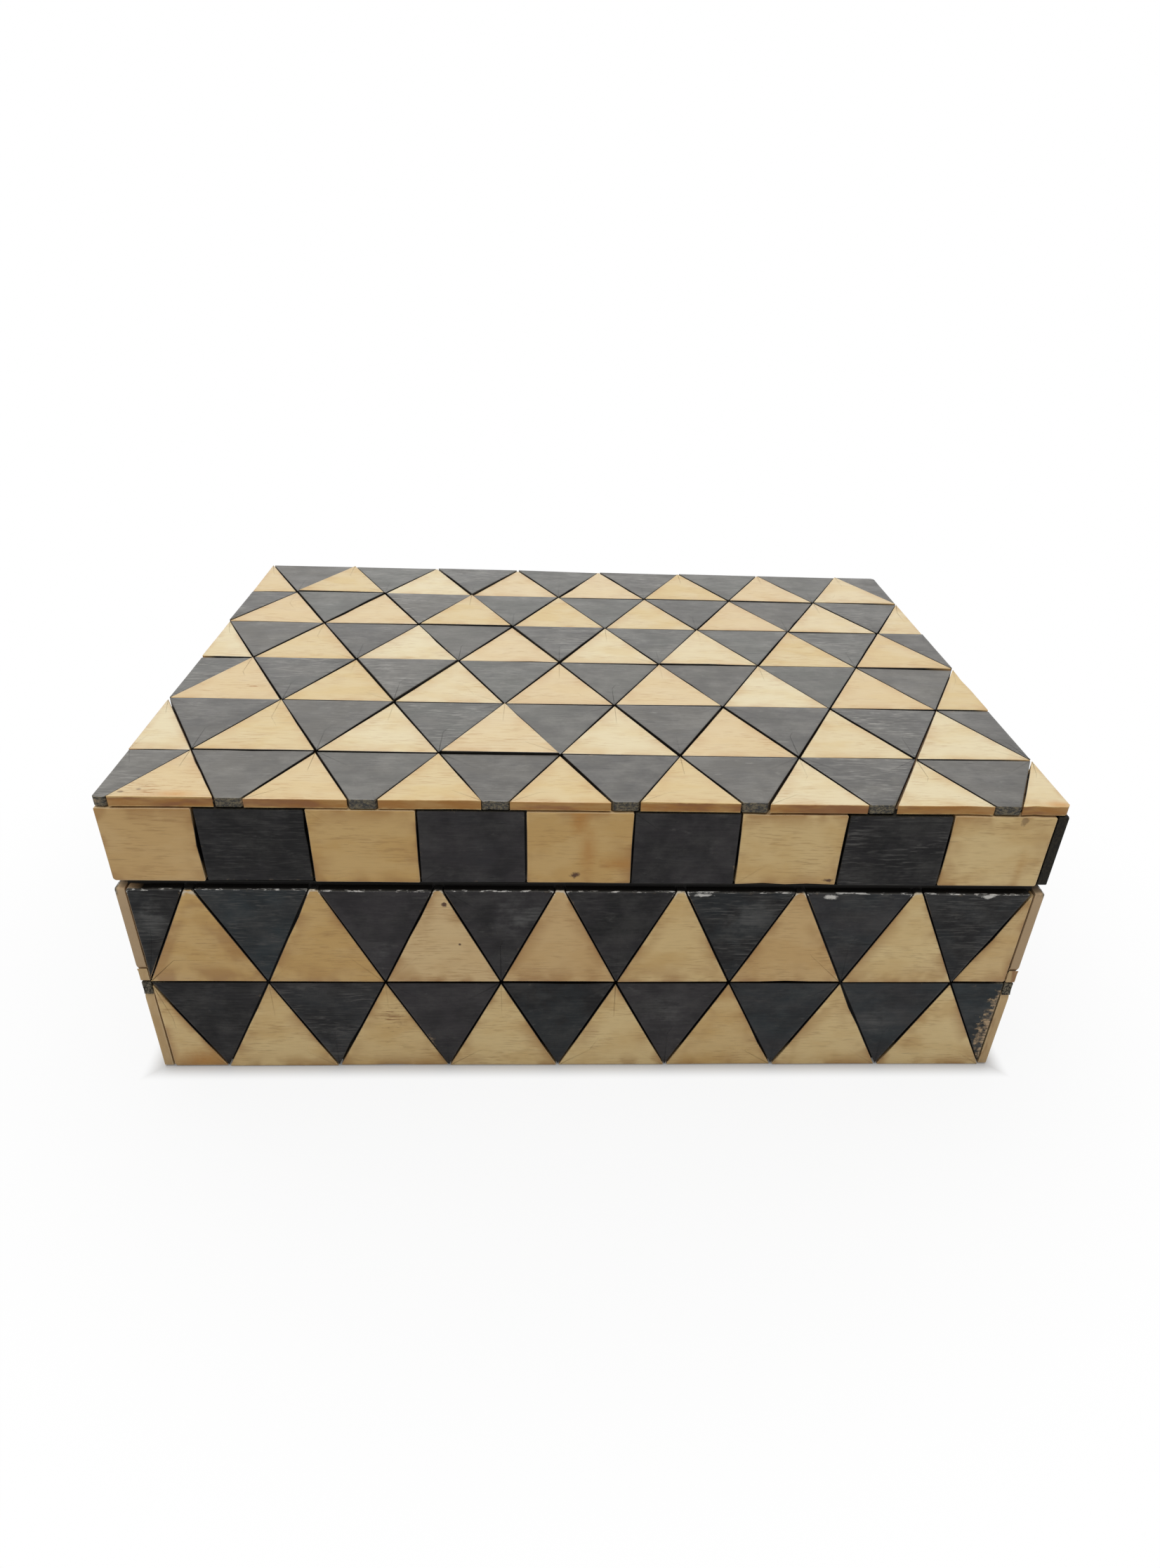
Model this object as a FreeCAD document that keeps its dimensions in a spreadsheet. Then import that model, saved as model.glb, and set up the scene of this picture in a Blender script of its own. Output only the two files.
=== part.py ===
import FreeCAD, Part
import math
import os

import Sketcher

# Tiled wooden box with a hinged lid, in millimetres.
# The wooden base and lid are rabbeted boards. Every outside face carries a skin of flat bone tiles,
# natural pale ones and dyed dark ones, with a thin joint between neighbours.
# Frame: +X along the front to the right, +Y to the back, +Z up, origin under the middle of the base.

# Driving dimensions: alias, value, meaning
SIZES = (
    ("carcass_length", 198.0, "wooden base, left to right"),
    ("carcass_depth", 150.6, "wooden base, front to back"),
    ("base_height", 53.2, "wooden base, floor to rim"),
    ("lid_height", 18.9, "wooden lid, rim to top panel"),
    ("lid_inset", 0.3, "lid set in from the base on each side"),
    ("rim_gap", 0.3, "space between the two rims of the closed box"),
    ("wall_thick", 8.0, "wall and rail boards"),
    ("rabbet_depth", 4.0, "depth of every rabbet, into the board's thickness"),
    ("bottom_thick", 6.0, "bottom board"),
    ("top_thick", 6.0, "lid's top board"),
    ("tile_thick", 2.1, "all tiles"),
    ("tile_gap", 0.3, "joint between neighbouring tiles"),
    ("rim_reveal", 0.8, "wooden rim left bare between tile edge and rim"),
    ("wall_tile_base", 26.4, "base of a triangular wall tile"),
    ("wall_tile_rise", 26.6, "height of a row of wall tiles"),
    ("lid_tile_base", 26.85, "base of a triangular lid tile"),
    ("lid_tile_rise", 26.6, "depth of a row of lid tiles"),
    ("lid_tile_margin", 0.1, "left edge of the lid to the first lid tile corner"),
    ("band_tile_base", 22.5, "width of an upright tile round the lid"),
    ("band_first_tile", 19.4, "width of the first upright tile of each side"),
    ("hinge_length", 25.0, "hinge along its pin"),
    ("hinge_end", 24.5, "end of the base to the end of a hinge"),
    ("knuckle_count", 5, "knuckles of one hinge, shared by its two leaves"),
    ("knuckle_gap", 0.2, "space between neighbouring knuckles"),
    ("leaf_reach", 7.0, "pin axis to the leaf's free edge"),
    ("leaf_thick", 0.7, "hinge leaf"),
    ("barrel_radius", 1.0, "outside of the knuckles"),
    ("barrel_clearance", 0.2, "knuckles to the back board"),
    ("pin_radius", 0.5, "hinge pin"),
    ("pin_clearance", 0.05, "running fit of the pin in the knuckles"),
    ("hinge_clearance", 0.3, "free space around the turning knuckles"),
    ("mortise_clearance", 0.1, "leaf to the walls of its mortise"),
    ("screw_radius", 0.7, "hinge screw's shank"),
    ("screw_head_radius", 1.4, "countersunk head"),
    ("screw_head_depth", 0.6, "countersunk head"),
    ("screw_length", 7.0, "head to tip"),
    ("screw_tip", 1.6, "pointed end"),
    ("screw_clearance", 0.03, "screw to its hole"),
    ("screw_spacing", 15.0, "between the two screws of a leaf"),
    ("screw_reach", 4.2, "pin axis to the line of screws"),
    ("pilot_extra", 0.5, "pilot hole beyond the screw's tip"),
)

RIGHT = FreeCAD.Vector(1, 0, 0)
BACK = FreeCAD.Vector(0, 1, 0)
UP = FreeCAD.Vector(0, 0, 1)
QUARTER = 90
HALF_TURN = 180

# The four sides in order round the box: name, turn about +Z, and the signs of the corner at its left end
SIDES = (
    ("front", 0, -1, -1),
    ("right", QUARTER, 1, -1),
    ("back", HALF_TURN, 1, 1),
    ("left", -QUARTER, -1, 1),
)
LONG_SIDES = ("front", "back")
COLOURS = ("pale", "dark")
# Neighbouring rows of triangles are shifted by half a tile: the first row of a face, then the second
ROW_SHIFTS = (0.5, 0)
HINGES = (("left", -1), ("right", 1))

# Lengths that several pieces share, as expressions on the sheet
TONGUE = "(Sizes.wall_thick - Sizes.rabbet_depth)"
LID_LENGTH = "(Sizes.carcass_length - 2 * Sizes.lid_inset)"
LID_DEPTH = "(Sizes.carcass_depth - 2 * Sizes.lid_inset)"
LID_RIM = "(Sizes.base_height + Sizes.rim_gap)"
LID_TOP = "(Sizes.base_height + Sizes.rim_gap + Sizes.lid_height)"
WALL_TILE_TOP = "(Sizes.base_height - Sizes.rim_reveal)"
LID_TILE_LENGTH = f"({LID_LENGTH} + 2 * Sizes.tile_thick)"
LID_TILE_DEPTH = f"({LID_DEPTH} + 2 * Sizes.tile_thick)"
AXIS_OUT = "(Sizes.barrel_radius + Sizes.barrel_clearance)"
AXIS_BACK = f"(Sizes.carcass_depth / 2 + {AXIS_OUT})"
AXIS_UP = "(Sizes.base_height + Sizes.rim_gap / 2)"
HINGE_OFFSET = "(Sizes.carcass_length / 2 - Sizes.hinge_end - Sizes.hinge_length / 2)"
KNUCKLE = "(Sizes.hinge_length / Sizes.knuckle_count)"

doc = FreeCAD.newDocument("tiled_box")
pieces = []
cuts = []


def add_sheet():
    """Write the driving dimensions into the sheet, one aliased row each."""
    sheet = doc.addObject("Spreadsheet::Sheet", "Sizes")
    for row, (alias, value, meaning) in enumerate(SIZES, start=1):
        sheet.set(f"A{row}", meaning)
        sheet.set(f"B{row}", str(value))
        sheet.setAlias(f"B{row}", alias)
    doc.recompute()
    return sheet


def bind(item, **expressions):
    """Tie properties of an object to the sheet."""
    for name, expression in expressions.items():
        item.setExpression(name, expression)


def put(item, x, y, z, turn=FreeCAD.Rotation()):
    """Place an object: a fixed turn, and a position tied to the sheet."""
    item.Placement = FreeCAD.Placement(FreeCAD.Vector(), turn)
    for axis, expression in zip("xyz", (x, y, z)):
        item.setExpression(f"Placement.Base.{axis}", expression)


def keep(item, label):
    """Name an object as a piece of the box."""
    item.Label = label
    pieces.append(item)
    return item


def signed(sign, expression):
    """Half of a length on one side of the middle."""
    return f"{sign} * {expression} / 2"


def new_sketch(body, role, name, lift="0"):
    """Sketch on one of the body's own origin planes, lifted along its normal."""
    plane = next(item for item in body.Origin.OriginFeatures if item.Role == role)
    sketch = body.newObject("Sketcher::SketchObject", name)
    sketch.AttachmentSupport = [(plane, "")]
    sketch.MapMode = "FlatFace"
    sketch.setExpression("AttachmentOffset.Base.z", lift)
    return sketch


def pin_point(sketch, geometry, point, corner):
    """Hold a sketch point at a corner whose two coordinates are expressions."""
    axes = (("DistanceX", -2), ("DistanceY", -1))
    for (kind, axis), expression in zip(axes, corner):
        if expression == "0":
            sketch.addConstraint(Sketcher.Constraint("PointOnObject", geometry, point, axis))
            continue
        place = sketch.getPoint(geometry, point)
        start = place.x if kind == "DistanceX" else place.y
        index = sketch.addConstraint(Sketcher.Constraint(kind, -1, 1, geometry, point, start))
        sketch.setExpression(f"Constraints[{index}]", expression)


def outline(sketch, corners):
    """Closed outline of straight lines through corners given as pairs of expressions."""
    count = len(corners)
    ring = [2 * math.pi * step / count for step in range(count)]
    guess = [FreeCAD.Vector(2 + math.cos(angle), 2 + math.sin(angle), 0) for angle in ring]
    first = sketch.GeometryCount
    for step in range(count):
        sketch.addGeometry(Part.LineSegment(guess[step], guess[(step + 1) % count]), False)
    for step in range(count):
        after = first + (step + 1) % count
        sketch.addConstraint(Sketcher.Constraint("Coincident", first + step, 2, after, 1))
    for step, corner in enumerate(corners):
        pin_point(sketch, first + step, 1, corner)


def rectangle(sketch, left, low, right, high):
    """Rectangle between two corners."""
    outline(sketch, [(left, low), (right, low), (right, high), (left, high)])


def circle(sketch, across, along, radius):
    """Circle about a point."""
    index = sketch.addGeometry(Part.Circle(FreeCAD.Vector(1, 1, 0), UP, 1), False)
    pin_point(sketch, index, 3, (across, along))
    size = sketch.addConstraint(Sketcher.Constraint("Radius", index, 1))
    sketch.setExpression(f"Constraints[{size}]", radius)


def pad(body, sketch, length):
    """Extrude a sketch along its normal."""
    feature = body.newObject("PartDesign::Pad", f"{sketch.Name}_pad")
    feature.Profile = sketch
    bind(feature, Length=length)
    return feature


def pocket(body, sketch, depth, upward):
    """Cut a sketch into the body, down its normal or up along it."""
    before = body.Tip
    feature = body.newObject("PartDesign::Pocket", f"{sketch.Name}_pocket")
    feature.Profile = sketch
    feature.Reversed = upward
    bind(feature, Length=depth)
    cuts.append((feature, before))
    return feature


def box(name, length, width, height, x="0", y="0", z="0"):
    """Plain block, its lowest corner at a point."""
    block = doc.addObject("Part::Box", name)
    bind(block, Length=length, Width=width, Height=height)
    put(block, x, y, z)
    return block


def rod(name, radius, length, x, y="0", z="0"):
    """Cylinder along +X, its middle line starting at a point."""
    bar = doc.addObject("Part::Cylinder", name)
    bind(bar, Radius=radius, Height=length)
    put(bar, x, y, z, FreeCAD.Rotation(BACK, QUARTER))
    return bar


def fused(name, shapes):
    """Union of several shapes."""
    union = doc.addObject("Part::MultiFuse", name)
    union.Shapes = shapes
    return union


def less(name, base, tool):
    """One shape cut out of another."""
    cut = doc.addObject("Part::Cut", name)
    cut.Base = base
    cut.Tool = tool
    return cut


# Wooden carcass

def wall_frame(side, length, depth):
    """Turn of a side, and the corner of the carcass where it starts."""
    name, turn, sign_x, sign_y = side
    return FreeCAD.Rotation(UP, turn), signed(sign_x, length), signed(sign_y, depth)


def shifted(side, x, y, along):
    """Move a side's starting corner along that side."""
    steps = {"front": (1, 0), "right": (0, 1), "back": (-1, 0), "left": (0, -1)}
    step_x, step_y = steps[side[0]]
    return f"{x} + {step_x} * {along}", f"{y} + {step_y} * {along}"


def wall_board(label, side, length, depth, section, height, base):
    """One wall: its section runs the whole length, and a long wall gets rabbeted ends.

    In the board's own frame x runs along the wall, y goes in from the outside face and z is up.
    """
    turn, x, y = wall_frame(side, length, depth)
    is_long = side[0] in LONG_SIDES
    run = length if is_long else f"({depth} - 2 * {TONGUE})"
    body = doc.addObject("PartDesign::Body", label)
    sketch = new_sketch(body, "YZ_Plane", f"{label}_section")
    outline(sketch, section)
    pad(body, sketch, run)
    if is_long:
        ends = new_sketch(body, "XY_Plane", f"{label}_ends")
        rectangle(ends, "0", TONGUE, "Sizes.wall_thick", "Sizes.wall_thick")
        rectangle(ends, f"{run} - Sizes.wall_thick", TONGUE, run, "Sizes.wall_thick")
        pocket(body, ends, height, True)
    else:
        x, y = shifted(side, x, y, TONGUE)
    put(body, x, y, base, turn)
    return keep(body, label)


def let_in_hinges(body, length, setback, lift, upward):
    """Mortises and pilot holes for the two hinges, cut into a back board's rim.

    setback is how far the board's outside face lies in from the base's back face.
    """
    half = "(Sizes.hinge_length / 2 + Sizes.mortise_clearance)"
    inner = f"Sizes.leaf_reach + Sizes.mortise_clearance - {AXIS_OUT} - {setback}"
    line = f"Sizes.screw_reach - {AXIS_OUT} - {setback}"
    mortises = new_sketch(body, "XY_Plane", f"{body.Name}_mortises", lift)
    holes = new_sketch(body, "XY_Plane", f"{body.Name}_pilots", lift)
    for name, sign in HINGES:
        middle = f"({length} / 2 + {sign} * {HINGE_OFFSET})"
        rectangle(mortises, f"{middle} - {half}", "0", f"{middle} + {half}", inner)
        for step in (-1, 1):
            across = f"{middle} + {step} * Sizes.screw_spacing / 2"
            circle(holes, across, line, "Sizes.screw_radius + Sizes.screw_clearance")
    pocket(body, mortises, "Sizes.leaf_thick", upward)
    pocket(body, holes, "Sizes.screw_length + Sizes.pilot_extra", upward)


def flat_board(label, width, reach, thick, floor):
    """A level board about the middle of the box."""
    keep(box(label, width, reach, thick, f"-({width}) / 2", f"-({reach}) / 2", floor), label)


def add_base_boards():
    """Four walls with a rabbet round their foot, and the bottom board let into it."""
    section = [
        ("0", "0"),
        (TONGUE, "0"),
        (TONGUE, "Sizes.bottom_thick"),
        ("Sizes.wall_thick", "Sizes.bottom_thick"),
        ("Sizes.wall_thick", "Sizes.base_height"),
        ("0", "Sizes.base_height"),
    ]
    length, depth = "Sizes.carcass_length", "Sizes.carcass_depth"
    for side in SIDES:
        label = f"base_{side[0]}_board"
        body = wall_board(label, side, length, depth, section, "Sizes.base_height", "0")
        if side[0] == "back":
            let_in_hinges(body, length, "0", "Sizes.base_height", False)
    width = f"{length} - 2 * {TONGUE}"
    reach = f"{depth} - 2 * {TONGUE}"
    flat_board("base_bottom_board", width, reach, "Sizes.bottom_thick", "0")


def add_lid_boards():
    """Four rails with a rabbet round their top edge, and the top board let into it."""
    shoulder = "Sizes.lid_height - Sizes.top_thick"
    section = [
        ("0", "0"),
        ("Sizes.wall_thick", "0"),
        ("Sizes.wall_thick", shoulder),
        (TONGUE, shoulder),
        (TONGUE, "Sizes.lid_height"),
        ("0", "Sizes.lid_height"),
    ]
    for side in SIDES:
        label = f"lid_{side[0]}_rail"
        body = wall_board(label, side, LID_LENGTH, LID_DEPTH, section, "Sizes.lid_height", LID_RIM)
        if side[0] == "back":
            let_in_hinges(body, LID_LENGTH, "Sizes.lid_inset", "0", True)
    width = f"{LID_LENGTH} - 2 * {TONGUE}"
    reach = f"{LID_DEPTH} - 2 * {TONGUE}"
    flat_board("lid_top_board", width, reach, "Sizes.top_thick", f"{LID_TOP} - Sizes.top_thick")


# Tile skin

def triangle(colour, base, rise):
    """Corners of one tile in its lattice cell, drawn in by half a joint on all three edges.

    Pale tiles stand on their base, dark ones hang from it.
    """
    slant = f"sqrt({rise}^2 + {base}^2 / 4)"
    side_in = f"(Sizes.tile_gap / 2 * ({base} / 2 + {slant}) / {rise})"
    tip_in = f"(Sizes.tile_gap * {slant} / {base})"
    half = "Sizes.tile_gap / 2"
    if colour == "pale":
        return [(side_in, half), (f"{base} - {side_in}", half), (f"{base} / 2", f"{rise} - {tip_in}")]
    flat = f"{rise} - {half}"
    return [(f"{base} / 2", tip_in), (f"{base} - {side_in}", flat), (side_in, flat)]


def tile_run(name, corners, count, pitch, start, lift):
    """A run of equal tiles at a steady pitch along a face.

    The face's own frame has x along it, y up it and z out of it.
    """
    body = doc.addObject("PartDesign::Body", name)
    sketch = new_sketch(body, "XY_Plane", f"{name}_tile")
    outline(sketch, corners)
    tile = pad(body, sketch, "Sizes.tile_thick")
    run = body.newObject("PartDesign::LinearPattern", f"{name}_pattern")
    run.Originals = [tile]
    run.Direction = (sketch, ["H_Axis"])
    bind(run, Occurrences=count, Length=f"({count} - 1) * {pitch}")
    body.Tip = run
    put(body, start, lift, "0")
    return body, sketch, run


def repeat_rows(run, sketch, count, pitch, downward):
    """Repeat a run of tiles up the face, or down it."""
    run.Direction2 = (sketch, ["V_Axis"])
    run.Reversed2 = downward
    bind(run, Occurrences2=count, Length2=f"({count} - 1) * {pitch}")


def tile_group(label, tiles, field, notches=()):
    """Tiles trimmed to a field of the face.

    The field is its left, low, right and high limits, and notches are further fields cut out of it.
    """
    trim = field_block(f"{label}_field", field)
    for index, notch in enumerate(notches):
        trim = less(f"{label}_trim_{index}", trim, field_block(f"{label}_notch_{index}", notch))
    group = doc.addObject("Part::Common", label)
    group.Base = tiles
    group.Tool = trim
    return keep(group, label)


def triangle_group(label, colour, lattice, field, downward, notches=()):
    """All triangles of one colour on a face, in rows from its low edge up or from its high edge down.

    The lattice is a tile's base, a row's height and the margin before the first tile corner. Every second
    row is alike, so the first row and the second one are each repeated at the pitch of two rows.
    """
    base, rise, margin = lattice
    left, low, right, high = field
    columns = f"(ceil(({right} - ({left})) / {base}) + 3)"
    rows = f"(ceil(({high} - ({low})) / (2 * {rise})) + 1)"
    runs = []
    for index, shift in enumerate(ROW_SHIFTS):
        early = shift + 1 if colour == "pale" else shift + 0.5
        lift = f"{high} - {index + 1} * {rise}" if downward else f"{low} + {index} * {rise}"
        start = f"{margin} - {early} * {base}"
        corners = triangle(colour, base, rise)
        body, sketch, run = tile_run(f"{label}_run_{index}", corners, columns, base, start, lift)
        repeat_rows(run, sketch, rows, f"2 * {rise}", downward)
        runs.append(body)
    tiles = doc.addObject("Part::Compound", f"{label}_rows")
    tiles.Links = runs
    return tile_group(label, tiles, field, notches)


def field_block(name, field):
    """Block of tile thickness over a field of a face."""
    left, low, right, high = field
    return box(name, f"{right} - ({left})", f"{high} - ({low})", "Sizes.tile_thick", left, low)


def stand_on_wall(group, side, length, depth, base):
    """Turn a group of tiles upright and set it against the outside of a wall."""
    turn, x, y = wall_frame(side, length, depth)
    put(group, x, y, base, turn.multiply(FreeCAD.Rotation(RIGHT, QUARTER)))


def hinge_notches(length, low, high):
    """Fields over the two hinges on a back face."""
    half = "(Sizes.hinge_length / 2 + Sizes.hinge_clearance)"
    middles = [f"({length} / 2 + {sign} * {HINGE_OFFSET})" for name, sign in HINGES]
    return [(f"{middle} - {half}", low, f"{middle} + {half}", high) for middle in middles]


def add_wall_tiles():
    """Rows of triangles on the four walls, from the foot up.

    The side skins lap over the ends of the front and back skins, and their rows start at the front.
    """
    length, depth = "Sizes.carcass_length", "Sizes.carcass_depth"
    base, rise = "Sizes.wall_tile_base", "Sizes.wall_tile_rise"
    knuckles_low = f"{AXIS_UP} - Sizes.barrel_radius - Sizes.hinge_clearance"
    for side in SIDES:
        field = ("Sizes.tile_gap", "0", f"{length} - Sizes.tile_gap", WALL_TILE_TOP)
        margin = "0"
        notches = ()
        if side[0] not in LONG_SIDES:
            field = ("-Sizes.tile_thick", "0", f"{depth} + Sizes.tile_thick", WALL_TILE_TOP)
        if side[0] == "left":
            margin = f"(mod({depth}; {base}) - {base})"
        if side[0] == "back":
            notches = hinge_notches(length, knuckles_low, AXIS_UP)
        for colour in COLOURS:
            label = f"base_{side[0]}_{colour}_tiles"
            group = triangle_group(label, colour, (base, rise, margin), field, False, notches)
            stand_on_wall(group, side, length, depth, "0")


def add_band_tiles():
    """One row of upright tiles round the lid. Each side laps over the end of the side before it."""
    low, high = "Sizes.rim_reveal", "(Sizes.lid_height - Sizes.tile_gap)"
    half = "Sizes.tile_gap / 2"
    width, tall = "Sizes.band_tile_base", f"{high} - {low}"
    corners = [(half, "0"), (f"{width} - {half}", "0"), (f"{width} - {half}", tall), (half, tall)]
    pitch = f"2 * {width}"
    knuckles_high = "Sizes.barrel_radius + Sizes.hinge_clearance - Sizes.rim_gap / 2"
    for side in SIDES:
        is_long = side[0] in LONG_SIDES
        run = LID_LENGTH if is_long else LID_DEPTH
        field = ("-Sizes.tile_thick", low, f"{run} - Sizes.tile_gap", high)
        count = f"(ceil({run} / ({pitch})) + 3)"
        notches = ()
        if side[0] == "back":
            notches = hinge_notches(LID_LENGTH, "0", knuckles_high)
        for colour in COLOURS:
            comes_first = (colour == "pale") == is_long
            steps = 3 if comes_first else 2
            start = f"Sizes.band_first_tile - Sizes.tile_thick - {steps} * {width}"
            label = f"lid_{side[0]}_band_{colour}_tiles"
            tiles = tile_run(f"{label}_run", corners, count, pitch, start, low)[0]
            group = tile_group(label, tiles, field, notches)
            stand_on_wall(group, side, LID_LENGTH, LID_DEPTH, LID_RIM)


def add_lid_top_tiles():
    """Rows of triangles on the lid, laid from the back edge. The front row is cut short."""
    lattice = ("Sizes.lid_tile_base", "Sizes.lid_tile_rise", "Sizes.lid_tile_margin")
    field = ("0", "0", LID_TILE_LENGTH, LID_TILE_DEPTH)
    for colour in COLOURS:
        group = triangle_group(f"lid_top_{colour}_tiles", colour, lattice, field, True)
        put(group, f"-{LID_TILE_LENGTH} / 2", f"-{LID_TILE_DEPTH} / 2", LID_TOP)


# Hinges

def screw_hole(name, across, face, upward):
    """Countersunk hole through a leaf. face is the height of the leaf's face at the rim."""
    narrow = "Sizes.screw_radius + Sizes.screw_clearance"
    turn = FreeCAD.Rotation(RIGHT, HALF_TURN if upward else 0)
    sign = 1 if upward else -1
    mouth = doc.addObject("Part::Cone", f"{name}_countersink")
    bind(mouth, Radius1=narrow, Radius2="Sizes.screw_head_radius + Sizes.screw_clearance")
    bind(mouth, Height="Sizes.screw_head_depth")
    put(mouth, across, "Sizes.screw_reach", f"{face} + {sign} * Sizes.screw_head_depth", turn)
    shank = doc.addObject("Part::Cylinder", f"{name}_shank")
    bind(shank, Radius=narrow, Height="Sizes.leaf_thick")
    put(shank, across, "Sizes.screw_reach", f"{face} + {sign} * Sizes.leaf_thick", turn)
    return [mouth, shank]


def hinge_leaf(label, sign, own, x):
    """One leaf: a plate, every second knuckle, and room for the other leaf's knuckles.

    In the leaf's own frame the pin lies along x, and the plate goes out along y. The sign puts the
    plate above the pin or below it, and own is 0 or 1 for the knuckles that it carries.
    """
    face = f"{sign} * Sizes.rim_gap / 2"
    floor = face if sign > 0 else f"{face} - Sizes.leaf_thick"
    plate = box(f"{label}_plate", "Sizes.hinge_length", "Sizes.leaf_reach", "Sizes.leaf_thick", z=floor)
    solid, room = [plate], []
    bore = "Sizes.pin_radius + Sizes.pin_clearance"
    room.append(rod(f"{label}_bore", bore, "Sizes.hinge_length", "0"))
    for index in range(int(sheet.knuckle_count)):
        start = f"{index} * {KNUCKLE}"
        name = f"{label}_knuckle_{index}"
        if index % 2 == own:
            wide = f"{KNUCKLE} - Sizes.knuckle_gap"
            solid.append(rod(name, "Sizes.barrel_radius", wide, f"{start} + Sizes.knuckle_gap / 2"))
        else:
            room.append(rod(name, "Sizes.barrel_radius + Sizes.hinge_clearance", KNUCKLE, start))
    for step in (-1, 1):
        across = f"Sizes.hinge_length / 2 + {step} * Sizes.screw_spacing / 2"
        room.extend(screw_hole(f"{label}_hole_{'right' if step > 0 else 'left'}", across, face, sign > 0))
    leaf = less(label, fused(f"{label}_solid", solid), fused(f"{label}_room", room))
    put(leaf, x, AXIS_BACK, AXIS_UP, FreeCAD.Rotation(UP, HALF_TURN))
    return keep(leaf, label)


def hinge_screws(label, turn, height):
    """The screws of both leaves of one body, as one group of revolved solids."""
    body = doc.addObject("PartDesign::Body", label)
    sketch = new_sketch(body, "XZ_Plane", f"{label}_section")
    outline(sketch, [
        ("0", "0"),
        ("Sizes.screw_radius", "Sizes.screw_tip"),
        ("Sizes.screw_radius", "Sizes.screw_length - Sizes.screw_head_depth"),
        ("Sizes.screw_head_radius", "Sizes.screw_length"),
        ("0", "Sizes.screw_length"),
    ])
    screw = body.newObject("PartDesign::Revolution", f"{label}_screw")
    screw.Profile = sketch
    screw.ReferenceAxis = (sketch, ["V_Axis"])
    doc.recompute()
    run = body.newObject("PartDesign::LinearPattern", f"{label}_pattern")
    run.Originals = [screw]
    run.Direction = (sketch, ["H_Axis"])
    run.Occurrences = 2
    run.Direction2 = (sketch, ["H_Axis"])
    run.Occurrences2 = 2
    bind(run, Length="Sizes.screw_spacing", Length2=f"2 * {HINGE_OFFSET}")
    body.Tip = run
    x = f"-{HINGE_OFFSET} - Sizes.screw_spacing / 2"
    put(body, x, f"{AXIS_BACK} - Sizes.screw_reach", height, turn)
    return keep(body, label)


def add_hinges():
    """Two butt hinges: a leaf let into each rim, a pin through the knuckles, countersunk screws."""
    for name, sign in HINGES:
        start = f"{sign} * {HINGE_OFFSET} + Sizes.hinge_length / 2"
        hinge_leaf(f"{name}_hinge_base_leaf", -1, 0, start)
        hinge_leaf(f"{name}_hinge_lid_leaf", 1, 1, start)
        low = f"{sign} * {HINGE_OFFSET} - Sizes.hinge_length / 2"
        pin = rod(f"{name}_hinge_pin", "Sizes.pin_radius", "Sizes.hinge_length", low, AXIS_BACK, AXIS_UP)
        keep(pin, f"{name}_hinge_pin")
    hinge_screws("base_hinge_screws", FreeCAD.Rotation(), "Sizes.base_height - Sizes.screw_length")
    hinge_screws("lid_hinge_screws", FreeCAD.Rotation(RIGHT, HALF_TURN), f"{LID_RIM} + Sizes.screw_length")


def check():
    """Stop if any object failed, any pocket cut nothing or any piece has no valid solid."""
    for item in doc.Objects:
        if "Invalid" in item.State or "Error" in item.State:
            raise RuntimeError(f"{item.Label} failed: {item.State}")
    for feature, before in cuts:
        if feature.Shape.Volume >= before.Shape.Volume:
            raise RuntimeError(f"{feature.Label} cuts nothing")
    for item in pieces:
        if item.Shape.isNull() or not item.Shape.isValid() or not item.Shape.Solids:
            raise RuntimeError(f"{item.Label} has no valid solid")


sheet = add_sheet()
add_base_boards()
add_lid_boards()
add_wall_tiles()
add_band_tiles()
add_lid_top_tiles()
add_hinges()
doc.recompute()
check()

os.makedirs("parts", exist_ok=True)
for piece in pieces:
    piece.Shape.exportStep(f"parts/{piece.Label}.step")
    print(f"{piece.Label}: {len(piece.Shape.Solids)} solids, {piece.Shape.Volume:.1f} mm3")
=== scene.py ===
"""Wooden box with a hinged lid and a skin of bone tiles, set on a plain pale floor."""

from __future__ import annotations

import logging
import math
from collections.abc import Callable
from dataclasses import dataclass, field, replace
from enum import Enum
from functools import partialmethod

import bmesh
import bpy
import numpy as np
from mathutils import Matrix, Vector

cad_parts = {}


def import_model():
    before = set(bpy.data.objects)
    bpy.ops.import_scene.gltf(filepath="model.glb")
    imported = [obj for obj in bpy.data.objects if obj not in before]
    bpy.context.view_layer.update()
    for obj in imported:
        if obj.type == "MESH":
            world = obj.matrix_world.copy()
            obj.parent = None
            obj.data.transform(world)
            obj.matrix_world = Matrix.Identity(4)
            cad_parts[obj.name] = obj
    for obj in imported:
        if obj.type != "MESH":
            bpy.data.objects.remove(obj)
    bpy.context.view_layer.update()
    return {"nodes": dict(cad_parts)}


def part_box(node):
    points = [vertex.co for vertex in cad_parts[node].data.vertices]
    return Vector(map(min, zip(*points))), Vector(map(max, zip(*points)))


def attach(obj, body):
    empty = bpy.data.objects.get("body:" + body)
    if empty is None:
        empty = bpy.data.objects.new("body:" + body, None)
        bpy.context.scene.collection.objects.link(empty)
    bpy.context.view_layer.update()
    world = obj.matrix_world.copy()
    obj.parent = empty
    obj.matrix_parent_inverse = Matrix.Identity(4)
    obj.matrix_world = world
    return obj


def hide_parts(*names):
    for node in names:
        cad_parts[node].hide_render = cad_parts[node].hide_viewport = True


LOG = logging.getLogger("tiled_box")
MM = 0.001
MICRONS_PER_M = 1e6
MICRONS_PER_MM = 1e3

Array = np.ndarray
Pair = tuple[float, float]
Triple = tuple[float, float, float]
Colour = Triple
Material = bpy.types.Material
Node = bpy.types.Node
NodeTree = bpy.types.NodeTree
Piece = bpy.types.Object
Rng = np.random.Generator
Socket = bpy.types.NodeSocket
Inputs = dict[str | int, object]

# Dark glue and dirt in the joints between tiles, and painted shade on the base tiles' top edges under the
# lid
GRIME_AND_SHADE: Colour = (0.007, 0.006, 0.005)


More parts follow.
